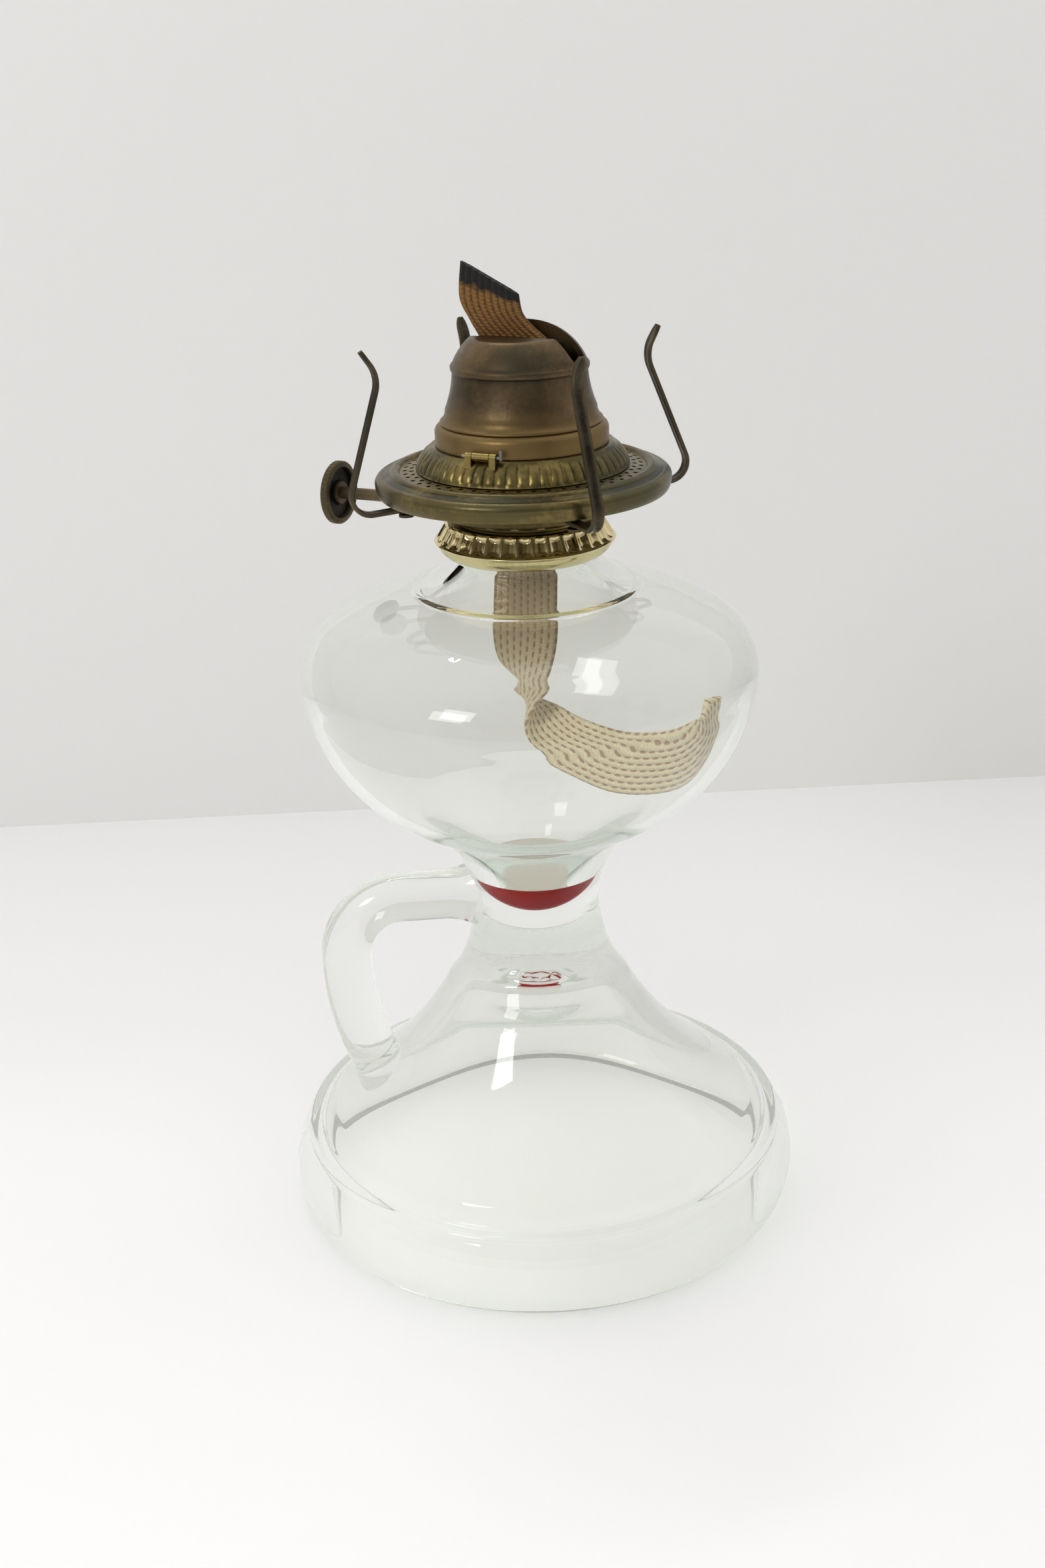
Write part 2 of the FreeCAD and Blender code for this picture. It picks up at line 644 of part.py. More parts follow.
# ---------------------------------------------------------------- collar
def make_collar():
    body = new_body("collar")
    outline = [
        (size.skirt_radius - size.sheet, size.skirt_foot),
        (size.skirt_radius, size.skirt_foot),
        (size.lip_radius - 0.4, size.lip_height - 0.5, size.skirt_bow),
        (size.lip_radius, size.lip_height),
        (size.lip_radius - 0.4, size.lip_height + 0.5),
        (size.cone_radius, size.cone_top),
        (size.collar_flat, size.collar_top, 0.25),
        (size.sleeve_bore, size.collar_top),
        (size.sleeve_bore, size.skirt_foot),
        (size.sleeve_radius, size.skirt_foot),
        (size.sleeve_radius, size.collar_top - size.sheet),
        (size.collar_flat - 0.3, size.collar_top - size.sheet),
        (size.lip_radius - 1.2, size.lip_height),
    ]
    revolve(body, outline)
    return sub_part(body, "collar")


def make_plaster():
    """The plaster that beds the collar on the glass neck."""
    body = new_body("collar_plaster")
    outer = size.skirt_radius - size.sheet - size.skin
    outline = [
        (size.neck_radius + size.skin, size.neck_foot + 0.4),
        (outer, size.neck_foot + 0.4),
        (outer, size.collar_top - size.sheet - 0.3),
        (size.sleeve_radius + 0.4, size.collar_top - size.sheet - 0.3),
        (size.sleeve_radius + 0.4, size.neck_top + size.skin),
        (size.neck_radius + size.skin, size.neck_top + size.skin),
    ]
    revolve(body, outline)
    return sub_part(body, "collar_plaster")


# ---------------------------------------------------------------- burner
def make_screw_shell():
    body = new_body("screw_shell")
    outline = [
        (size.screw_bore, size.screw_foot),
        (size.screw_radius, size.screw_foot),
        (size.screw_radius, size.flange_foot),
        (size.flange_radius, size.flange_foot),
        (size.flange_radius, size.flange_foot + size.sheet),
        (size.screw_bore, size.flange_foot + size.sheet),
    ]
    revolve(body, outline)
    return sub_part(body, "screw_shell", in_burner())


def make_bowl():
    """The bowl under the gallery, with draught holes, rivet holes and the spindle's hole."""
    body = new_body("burner_bowl")
    outline = [
        (size.bowl_bore, size.bowl_foot),
        (size.bowl_floor, size.bowl_foot),
        (size.bowl_turn_radius, size.bowl_turn_height, size.bowl_bow),
        (size.bowl_radius, size.bowl_rim),
        (size.bowl_radius, size.bowl_rim + size.sheet),
        (size.bowl_turn_radius - 0.2, size.bowl_turn_height + size.sheet),
        (size.bowl_floor - 0.4, size.bowl_foot + size.sheet, -size.bowl_bow),
        (size.bowl_bore, size.bowl_foot + size.sheet),
    ]
    revolve(body, outline)
    spindle_hole = size.spindle_radius + 0.25
    pocket(body, "YZ_Plane", [(size.spindle_offset, size.spindle_height, spindle_hole)], size.bowl_radius)
    rivet_circle = (size.prong_root + size.rivet_place).value
    holes = []
    for azimuth in prong_azimuths().values():
        x = rivet_circle * math.cos(math.radians(azimuth))
        y = rivet_circle * math.sin(math.radians(azimuth))
        holes.append((x, y, size.rivet_radius + size.skin))
    pocket(body, "XY_Plane", holes, size.rim_top)
    draught = pocket(body, "XY_Plane", [(0, -size.draught_circle, size.draught_hole)], size.rim_top)
    repeat_round(body, [draught], size.draught_count)
    return sub_part(body, "burner_bowl", in_burner())


def make_gallery():
    """The gallery plate: an inner ring of small holes, a bead, and a rolled rim."""
    body = new_body("gallery")
    sheet_thickness = size.sheet
    outline = [
        (size.plate_bore, size.plate_top - sheet_thickness),
        (size.bead_inner - 0.1, size.bead_foot - sheet_thickness),
        (size.bead_outer + 0.1, size.bead_foot - sheet_thickness, -size.bead_bow),
        (size.rim_shoulder - 0.3, size.rim_top - sheet_thickness),
        (size.rim_radius - sheet_thickness, size.rim_height, -size.rim_bow),
        (size.rim_radius - 0.9, size.rim_foot + 0.5),
        (size.rim_lip, size.rim_foot + 0.5),
        (size.rim_lip, size.rim_foot),
        (size.rim_radius - 0.7, size.rim_foot),
        (size.rim_radius, size.rim_height, size.bead_bow / 4),
        (size.rim_shoulder, size.rim_top, size.rim_bow),
        (size.bead_outer, size.bead_foot),
        (size.bead_inner, size.bead_foot, size.bead_bow),
        (size.plate_bore, size.plate_top),
    ]
    revolve(body, outline)
    inner = (size.lace_circle_in, 0, size.lace_hole)
    first_row = pocket(body, "XY_Plane", [inner], size.rim_top * 2)
    repeat_round(body, [first_row], size.lace_count)
    half_step = math.pi / size.lace_count.value
    x = size.lace_circle_out * math.cos(half_step)
    y = size.lace_circle_out * math.sin(half_step)
    second_row = pocket(body, "XY_Plane", [(x, y, size.lace_hole)], size.rim_top * 2)
    repeat_round(body, [second_row], size.lace_count)
    return sub_part(body, "gallery", in_burner())


def make_crown():
    body = new_body("crown")
    outline = [
        (size.crown_radius - size.sheet, size.crown_foot),
        (size.crown_radius, size.crown_foot),
        (size.crown_shoulder, size.crown_turn, size.crown_bow),
        (size.ledge_radius, size.ledge_top, 0.1),
        (size.ledge_bore, size.ledge_top),
        (size.ledge_bore, size.ledge_top - size.sheet),
        (size.ledge_radius - 0.2, size.ledge_top - size.sheet),
    ]
    revolve(body, outline)
    return sub_part(body, "crown", in_burner())


def make_distributor():
    """The perforated disc that spreads the draught round the wick tube."""
    body = new_body("air_distributor")
    around_x = size.tube_half_width + size.tube_gap
    around_y = size.tube_half_depth + size.tube_gap
    vent = (0, -size.vent_offset, size.vent_radius + size.running)
    shapes = [(0, 0, size.disc_radius), box_outline(-around_x, around_x, -around_y, around_y), vent]
    pad(body, "XY_Plane", shapes, size.sheet, size.disc_foot)
    for circle in (size.disc_circle_in, size.disc_circle_out):
        row = pocket(body, "XY_Plane", [(circle, 0, size.disc_hole)], size.rim_top * 2)
        repeat_round(body, [row], size.disc_count)
    return sub_part(body, "air_distributor", in_burner())


def make_wick_tube():
    """The flat tube that holds the wick, with a window for each spur wheel."""
    body = new_body("wick_tube")
    wide, deep = size.tube_half_width, size.tube_half_depth
    inner_wide, inner_deep = wide - size.tube_wall, deep - size.tube_wall
    shapes = [
        box_outline(-wide, wide, -deep, deep),
        box_outline(-inner_wide, inner_wide, -inner_deep, inner_deep),
    ]
    pad(body, "XY_Plane", shapes, size.tube_top - size.tube_foot, size.tube_foot)
    windows = []
    for side in (-1, 1):
        middle = size.wheel_place * side
        left = middle - size.window_width / 2
        right = middle + size.window_width / 2
        windows.append(box_outline(left, right, size.window_foot, size.window_foot + size.window_height))
    pocket(body, "XZ_Plane", windows, deep * 2, upward=False)
    return sub_part(body, "wick_tube", in_burner())


def make_bracket():
    """The bracket in front of the wick tube that carries the spindle."""
    body = new_body("spindle_bracket")
    wide, thick = size.bracket_half_width, size.bracket_sheet
    back = size.tube_half_depth + size.skin
    front = size.bracket_depth
    outline = [
        (-wide, back),
        (-wide + thick, back),
        (-wide + thick, front - thick),
        (wide - thick, front - thick),
        (wide - thick, back),
        (wide, back),
        (wide, front),
        (-wide, front),
    ]
    pad(body, "XY_Plane", [outline], size.bracket_rise, size.bracket_foot)
    bore = size.spindle_radius + size.running
    pocket(body, "YZ_Plane", [(size.spindle_offset, size.spindle_height, bore)], wide * 3, symmetric=True)
    return sub_part(body, "spindle_bracket", in_burner())


def make_vent_tube():
    body = new_body("vent_tube")
    bore = size.vent_radius - size.tube_wall
    shapes = [(0, -size.vent_offset, size.vent_radius), (0, -size.vent_offset, bore)]
    pad(body, "XY_Plane", shapes, size.vent_top - size.vent_foot, size.vent_foot)
    return sub_part(body, "vent_tube", in_burner())


# ---------------------------------------------------------------- dome and hinge
def make_dome():
    """The deflector: base band, two beads, a tapering wall, a round cap and the flame slot."""
    body = new_body("deflector_dome")
    thick = size.dome_sheet
    outline = [
        (size.dome_base - thick, size.dome_foot),
        (size.dome_base, size.dome_foot),
        (size.dome_base, size.dome_band),
        (size.dome_bead + 0.2, size.dome_bead_height - 0.5, 0.3),
        (size.dome_bead, size.dome_bead_height + 0.3, 0.3),
        (size.dome_flank, size.dome_flank_height, -0.25),
        (size.dome_wall, size.dome_wall_height, -0.35),
        (size.dome_ring, size.dome_ring_height, 0.1),
        (size.dome_cap, size.dome_cap_height, 0.2),
        (size.apex_flat, size.dome_top, size.dome_cap_bow),
        (0, size.dome_top),
        (0, size.dome_top - thick),
        (size.apex_flat, size.dome_top - thick),
        (size.dome_cap - thick, size.dome_cap_height - 0.1, 0.15 - size.dome_cap_bow),
        (size.dome_wall - thick, size.dome_wall_height),
        (size.dome_flank - thick, size.dome_flank_height, 0.35),
        (size.dome_bead - thick, size.dome_bead_height),
        (size.dome_base - thick, size.dome_band - 0.3),
    ]
    revolve(body, outline)
    wide, end = size.slot_half_width, size.slot_half_length
    straight = end - wide
    bow = wide * QUARTER_BOW
    slot = [
        (straight, -wide),
        (end, 0, bow),
        (straight, wide, bow),
        (-straight, wide),
        (-end, 0, bow),
        (-straight, -wide, bow),
    ]
    pocket(body, "XY_Plane", [slot], size.dome_top, size.slot_foot)
    return sub_part(body, "deflector_dome", in_burner())


def make_hinge_leaf():
    """The dome's half of the hinge: a knuckle with a leaf that reaches the base band."""
    body = new_body("dome_hinge_leaf")
    pin_line = (size.hinge_offset, size.hinge_height)
    pad(body, "YZ_Plane", [(*pin_line, size.knuckle_radius)], size.knuckle_half * 2, symmetric=True)
    half = size.knuckle_half
    dome_bow = half * half / (size.dome_base * 2)
    inner = size.dome_base - dome_bow + size.skin
    leaf = [
        (half, size.hinge_offset),
        (-half, size.hinge_offset),
        (-half, inner),
        (half, inner, -dome_bow),
    ]
    pad(body, "XY_Plane", [leaf], size.sheet, size.leaf_foot)
    pocket(body, "YZ_Plane", [(*pin_line, size.pin_radius + size.running)], half * 4, symmetric=True)
    return sub_part(body, "dome_hinge_leaf", in_burner())


def make_hinge_ear(label, side):
    """One of the two ears that stand on the crown and hold the hinge pin."""
    body = new_body(label)
    back = size.hinge_offset - size.knuckle_radius
    front = size.hinge_offset + size.knuckle_radius
    bow = size.knuckle_radius * QUARTER_BOW
    outline = [
        (front + 0.2, size.hinge_height - 2.4),
        (front, size.hinge_height),
        (size.hinge_offset, size.hinge_height + size.knuckle_radius, bow),
        (back, size.hinge_height, bow),
        (back, size.ledge_top + 0.1),
        (size.hinge_offset - 0.15, size.ledge_top - 0.05),
    ]
    start = size.knuckle_half + size.knuckle_gap
    pad(body, "YZ_Plane", [outline], size.ear_width, start if side > 0 else -(start + size.ear_width))
    bore = (size.hinge_offset, size.hinge_height, size.pin_radius + size.running)
    pocket(body, "YZ_Plane", [bore], size.pin_reach * 4, symmetric=True)
    return sub_part(body, label, in_burner())


def make_hinge_pin():
    """The hinge pin, with one end bent up so that it can't slide out."""
    body = new_body("hinge_pin")
    pin_line = (size.hinge_offset, size.hinge_height, size.pin_radius)
    pad(body, "YZ_Plane", [pin_line], size.pin_reach * 2, symmetric=True)
    hook = (-size.pin_reach, size.hinge_offset, size.pin_radius)
    pad(body, "XY_Plane", [hook], size.pin_hook, size.hinge_height - size.pin_radius)
    return sub_part(body, "hinge_pin", in_burner())


# ---------------------------------------------------------------- winder
def make_spindle():
    body = new_body("spindle")
    line = (size.spindle_offset, size.spindle_height, size.spindle_radius)
    pad(body, "YZ_Plane", [line], size.spindle_reach + size.spindle_tail, -size.spindle_tail)
    return sub_part(body, "spindle", in_burner())


def along_spindle(x):
    """A placement on the spindle's line whose Z points to the knob."""
    return in_burner(
        x, size.spindle_offset.value, size.spindle_height.value, Rotation(Vector(0, 1, 0), 90)
    )


def make_spur_wheel(label, side):
    """A toothed wheel that grips the wick through its window."""
    body = new_body(label)
    bore = (0, 0, size.spindle_radius + size.running)
    pad(body, "XY_Plane", [(0, 0, size.wheel_root), bore], size.wheel_width)
    half_pitch = size.wheel_root * math.sin(math.pi / size.wheel_teeth.value)
    root = size.wheel_root * math.cos(math.pi / size.wheel_teeth.value)
    tooth = [
        (root - 0.2, -half_pitch),
        (size.wheel_radius, Size.of(0)),
        (root - 0.2, half_pitch),
    ]
    tooth_pad = pad(body, "XY_Plane", [tooth], size.wheel_width)
    repeat_round(body, [tooth_pad], size.wheel_teeth)
    place = side * size.wheel_place.value - size.wheel_width.value / 2
    return sub_part(body, label, along_spindle(place))


def make_thumb_knob():
    """The thumb knob: a hub, a thin web and a notched rim."""
    body = new_body("thumb_knob")
    bore = size.spindle_radius + size.running / 2
    rim = size.knob_radius - 1.3
    outline = [
        (bore, 0),
        (size.knob_hub, 0),
        (size.knob_hub + 0.3, size.knob_rim - size.knob_web),
        (rim - 0.3, size.knob_rim - size.knob_web),
        (rim, 0),
        (size.knob_radius - 0.3, 0),
        (size.knob_radius, 0.3),
        (size.knob_radius, size.knob_rim - 0.3),
        (size.knob_radius - 0.3, size.knob_rim),
        (bore, size.knob_rim),
    ]
    revolve(body, outline)
    notch = pocket(body, "XY_Plane", [(size.knob_radius + 0.15, 0, Size.of(0.32))], size.knob_rim * 2)
    repeat_round(body, [notch], size.knob_notches)
    return sub_part(body, "thumb_knob", along_spindle(size.knob_place.value))


# ---------------------------------------------------------------- prongs
def prong_azimuths():
    """The direction of each prong about Z in the burner's frame, in degrees."""
    spread = size.prong_spread.value
    return {
        "prong_hinge_left": 90 - spread,
        "prong_hinge_right": 90 + spread,
        "prong_back_right": 270 - spread,
        "prong_back_left": 270 + spread,
    }


def make_prong(label, azimuth):
    """A spring prong: a flat strip bent up round the gallery, in to a waist and out at its tip."""
    body = new_body(label)
    steps = [
        (size.prong_foot_length, ZERO),
        size.prong_heel,
        (size.prong_leg, size.prong_leg_heading),
        size.prong_neck,
        (size.prong_tip, size.prong_tip_heading),
    ]
    sweep(body, steps, size.prong_half_width, size.prong_half_depth)
    hole = (size.rivet_place, 0, size.rivet_radius + size.rivet_play)
    pocket(body, "XY_Plane", [hole], size.prong_heel, symmetric=True)
    turned = Placement(Vector(), Rotation(Vector(0, 0, 1), azimuth))
    root = Placement(Vector(size.prong_root.value, 0, size.prong_height.value), Rotation())
    pivot = Vector(size.rivet_place.value, 0, 0)
    lean = Placement(Vector(), Rotation(Vector(0, 1, 0), PRONG_LEANS[label]), pivot)
    return sub_part(body, label, in_burner().multiply(turned).multiply(root).multiply(lean))


def make_rivets():
    """The four rivets that hold the prongs under the bowl, one group of separate solids."""
    shank = size.rivet_radius.value
    head = size.rivet_head.value
    head_height = size.rivet_head_height.value
    foot = size.rivet_foot.value
    top = size.rivet_top.value
    circle = (size.prong_root + size.rivet_place).value
    rivets = []
    for azimuth in prong_azimuths().values():
        place = Vector(circle, 0, foot)
        lower = Part.makeCylinder(head, head_height, place)
        stem = Part.makeCylinder(shank, top - foot, place)
        upper = Part.makeCylinder(head, head_height, place + Vector(0, 0, top - foot))
        rivet = lower.fuse([stem, upper]).removeSplitter()
        rivet.rotate(Vector(), Vector(0, 0, 1), azimuth)
        rivets.append(rivet)
    group = doc.addObject("Part::Feature", "prong_rivets")
    group.Shape = Part.makeCompound(rivets)
    return sub_part(group, "prong_rivets", in_burner())


# ---------------------------------------------------------------- wick
def make_wick_strip():
    """The part of the wick that the spur wheels lift, in the tube."""
    body = new_body("wick_strip")
    wide, deep = size.wick_half_width, size.wick_half_depth
    outline = box_outline(-wide, wide, -deep, deep)
    pad(body, "XY_Plane", [outline], size.tube_top - size.wick_cut, size.wick_cut)
    return sub_part(body, "wick_strip", in_burner())


def make_wick_tip():
    """The limp burnt end that stands out of the dome, leaning, with a slanting cut."""
    body = new_body("wick_tip")
    wide = size.wick_half_width
    foot = size.tube_top
    outline = [
        (-wide, foot),
        (wide, foot),
        (wide + 2.2, foot + 4.0),
        (14.9, foot + 12.3),
        (12.8, foot + 17.0),
        (-0.5, foot + 10.2),
        (-1.6, foot + 6.0),
        (-wide + 1.2, foot + 2.0),
    ]
    pad(body, "XZ_Plane", [outline], size.wick_half_depth * 2, symmetric=True)
    return sub_part(body, "wick_tip", in_burner())


def make_wick_tail():
    """The limp tail that hangs through the neck and lies along the font's side."""
    body = new_body("wick_tail")
    wide = size.wick_half_width
    outline = [
        (wide, size.wick_cut),
        (-wide, size.wick_cut),
        (-wide, 134.0),
        (-13.2, 126.7, -1.0),
        (-24.7, 124.0),
        (-36.0, 125.8),
        (-40.4, 128.6),
        (-37.2, 113.2),
        (-32.0, 110.0),
        (-20.7, 109.4),
        (-9.2, 113.8),
        (3.5, 124.0),
        (wide, 134.0),
    ]
    pad(body, "XZ_Plane", [outline[::-1]], size.wick_half_depth * 2, symmetric=True)
    return sub_part(body, "wick_tail", in_burner())


# ---------------------------------------------------------------- the whole lamp
make_glass()
make_handle()
make_fuel()
make_collar()
make_plaster()
make_screw_shell()
make_bowl()
make_gallery()
make_crown()
make_distributor()
make_wick_tube()
make_bracket()
make_vent_tube()
make_dome()
make_hinge_leaf()
make_hinge_ear("hinge_ear_left", 1)
make_hinge_ear("hinge_ear_right", -1)
make_hinge_pin()
make_spindle()
make_spur_wheel("spur_wheel_left", 1)
make_spur_wheel("spur_wheel_right", -1)
make_thumb_knob()
for name, direction in prong_azimuths().items():
    make_prong(name, direction)
make_rivets()
make_wick_strip()
make_wick_tip()
make_wick_tail()

doc.recompute()
for obj in doc.Objects:
    if "Invalid" in obj.State or "Error" in obj.State:
        raise RuntimeError(f"{obj.Label} was not built: {obj.State}")
for obj in SUB_PARTS:
    if obj.Shape.isNull() or not obj.Shape.isValid():
        raise RuntimeError(f"{obj.Label} has no valid shape")

os.makedirs("parts", exist_ok=True)
for obj in SUB_PARTS:
    obj.Shape.exportStep(f"parts/{obj.Label}.step")
    print(f"{obj.Label}: {len(obj.Shape.Solids)} solid(s), {obj.Shape.Volume:.1f} mm3")
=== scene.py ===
"""Looks for the finger lamp: glass, brass burner, wick and fuel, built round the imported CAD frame."""
import math

import bpy
import bmesh
from mathutils import Matrix, Vector


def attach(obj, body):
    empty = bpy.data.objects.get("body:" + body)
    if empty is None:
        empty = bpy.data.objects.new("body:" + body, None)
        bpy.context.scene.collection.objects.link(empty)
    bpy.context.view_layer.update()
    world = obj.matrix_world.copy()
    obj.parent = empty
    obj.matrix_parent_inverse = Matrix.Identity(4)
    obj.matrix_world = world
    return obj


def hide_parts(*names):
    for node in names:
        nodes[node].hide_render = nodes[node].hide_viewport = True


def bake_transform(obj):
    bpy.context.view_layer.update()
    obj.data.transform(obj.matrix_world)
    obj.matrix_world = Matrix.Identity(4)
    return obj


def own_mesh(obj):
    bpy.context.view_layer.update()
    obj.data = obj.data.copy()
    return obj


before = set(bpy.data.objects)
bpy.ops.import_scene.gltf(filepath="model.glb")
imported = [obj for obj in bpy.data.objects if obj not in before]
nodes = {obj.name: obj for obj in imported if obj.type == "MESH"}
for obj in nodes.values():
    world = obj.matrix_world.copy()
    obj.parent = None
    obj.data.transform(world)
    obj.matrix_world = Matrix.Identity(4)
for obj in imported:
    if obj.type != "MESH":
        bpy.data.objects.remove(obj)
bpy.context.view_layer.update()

MM = 0.001
BURNER_TURN = math.radians(150)
BURNER = Matrix.Rotation(BURNER_TURN, 4, "Z")
SHARP_ANGLE = math.radians(32)
GLASS_SHARP = math.radians(50)
SOFT_SHARP = math.radians(80)

# how often a ray may turn inside the glass, and be mirrored there, before it is let straight out
MOST_TURNS = 6.5
MOST_MIRRORS = 0.5
GLASS_INDEX = 1.40

# the wick's weave, in millimetres
RIB_SPACING = 1.7
STITCH_LENGTH = 2.3
WEAVE_LENGTH = 0.8


# ---------------------------------------------------------------- shapes
def arc(start, end, bow, step):
    """Points after start, up to end, on an arc that bows out to the right of that way by bow."""
    (x0, y0), (x1, y1) = start, end
    dx, dy = x1 - x0, y1 - y0
    chord = math.hypot(dx, dy)
    half = 2 * math.atan2(2 * abs(bow), chord)
    radius = chord / 2 / math.sin(half)
    side = math.copysign(1, bow)
    centre_x = (x0 + x1) / 2 - side * dy / chord * radius * math.cos(half)
    centre_y = (y0 + y1) / 2 + side * dx / chord * radius * math.cos(half)
    count = max(3, round(2 * half * radius / step))
    first = math.atan2(y0 - centre_y, x0 - centre_x)
    points = []
    for i in range(1, count + 1):
        turn = first + side * 2 * half * i / count
        points.append((centre_x + radius * math.cos(turn), centre_y + radius * math.sin(turn)))
    return points


def outline(entries, step=1.2):
    """Points of an open outline. Each entry is (x, y), or (x, y, bow) when an arc leads to it."""
    points = [entries[0][:2]]
    for entry in entries[1:]:
        if len(entry) == 3:
            points += arc(points[-1], entry[:2], entry[2], step)
        else:
            points.append(entry[:2])
    return points


def soften(points, reach, closed=False, least=math.radians(14)):
    """Rounds the corners of an outline, over reach each way or as far as its sides allow."""
    count = len(points)
    rounded = []
    for i, here in enumerate(points):
        if not closed and i in (0, count - 1):
            rounded.append(here)
            continue
        before, after = points[i - 1], points[(i + 1) % count]
        back = (before[0] - here[0], before[1] - here[1])
        ahead = (after[0] - here[0], after[1] - here[1])
        back_length, ahead_length = math.hypot(*back), math.hypot(*ahead)
        dot = (back[0] * ahead[0] + back[1] * ahead[1]) / (back_length * ahead_length)
        if math.pi - math.acos(max(-1, min(1, dot))) < least:
            rounded.append(here)
            continue
        start = min(reach, back_length * 0.45) / back_length
        end = min(reach, ahead_length * 0.45) / ahead_length
        for k in range(5):
            t = k / 4
            pull_back, pull_ahead = start * (1 - t) ** 2, end * t ** 2
            rounded.append((
                here[0] + back[0] * pull_back + ahead[0] * pull_ahead,
                here[1] + back[1] * pull_back + ahead[1] * pull_ahead,
            ))
    return rounded


def lathe(points, count=192, closed=False, change=None):
    """Vertices and faces of an outline turned about Z. change(r, z, angle) may move a point."""
    vertices, faces, rings = [], [], []
    for r, z in points:
        ring = []
        for k in range(1 if r < 1e-6 else count):
            angle = 2 * math.pi * k / count
            r_here, z_here = change(r, z, angle) if change else (r, z)
            ring.append(len(vertices))
            vertices.append((r_here * math.cos(angle), r_here * math.sin(angle), z_here))
        rings.append(ring)
    pairs = list(zip(rings, rings[1:]))
    if closed:
        pairs.append((rings[-1], rings[0]))
    for lower, upper in pairs:
        for k in range(count):
            after = (k + 1) % count
            if len(lower) == 1 and len(upper) == 1:
                break
            if len(lower) == 1:
                faces.append((lower[0], upper[after], upper[k]))
            elif len(upper) == 1:
                faces.append((lower[k], lower[after], upper[0]))
            else:
                faces.append((lower[k], lower[after], upper[after], upper[k]))
    return vertices, faces


def tube(rings, ends=None):
    """A closed strip through rings of equally many points. ends are points to gather its two caps to."""
    vertices = [point for ring in rings for point in ring]
    size = len(rings[0])
    last = (len(rings) - 1) * size
    if ends:
        faces = [(len(vertices), (k + 1) % size, k) for k in range(size)]
        faces += [(len(vertices) + 1, last + k, last + (k + 1) % size) for k in range(size)]
        vertices += ends
    else:
        faces = [tuple(range(size))[::-1], tuple(range(last, last + size))]
    for i in range(len(rings) - 1):
        for k in range(size):
            after = (k + 1) % size
            faces.append((i * size + k, i * size + after, (i + 1) * size + after, (i + 1) * size + k))
    return vertices, faces


def smooth_curve(points, samples):
    """Samples of a Catmull-Rom curve through points, which may be tuples of any length."""
    result = []
    last = len(points) - 1
    for i in range(samples + 1):
        t = i / samples * last
        k = min(int(t), last - 1)
        t -= k
        four = [points[max(k - 1, 0)], points[k], points[k + 1], points[min(k + 2, last)]]
        result.append(tuple(
            0.5 * (
                2 * b + (c - a) * t + (2 * a - 5 * b + 4 * c - d) * t * t
                + (3 * b - a - 3 * c + d) * t ** 3
            )
            for a, b, c, d in zip(*four)
        ))
    return result


def piece(name, shape, material, body, matrix=None, replaces=(), sharp=SHARP_ANGLE, uv=None):
    """A finished mesh piece in metres that rides on a CAD body."""
    vertices, faces = shape
    mesh = bpy.data.meshes.new(name)
    mesh.from_pydata([Vector(v) * MM for v in vertices], [], faces)
    if uv:
        layer = mesh.uv_layers.new(name="UVMap")
        for loop in mesh.loops:
            layer.data[loop.index].uv = uv[loop.vertex_index]
    tidy = bmesh.new()
    tidy.from_mesh(mesh)
    bmesh.ops.recalc_face_normals(tidy, faces=tidy.faces)
    tidy.to_mesh(mesh)
    tidy.free()
    if matrix:
        mesh.transform(matrix)
    mesh.shade_smooth()
    mesh.set_sharp_from_angle(angle=sharp)
    obj = bpy.data.objects.new(name, mesh)
    bpy.context.scene.collection.objects.link(obj)
    mesh.materials.append(material)
    if replaces:
        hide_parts(*replaces)
    if body:
        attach(obj, body)
    return obj


def combine(target, tool, operation):
    """Gives target the exact union with, or difference from, tool, and takes tool away."""
    modifier = target.modifiers.new("combine", "BOOLEAN")
    modifier.operation = operation
    modifier.solver = "EXACT"
    modifier.object = tool
    bpy.context.view_layer.update()
    target.data = bpy.data.meshes.new_from_object(target.evaluated_get(bpy.context.evaluated_depsgraph_get()))
    target.modifiers.clear()
    bpy.data.objects.remove(tool)


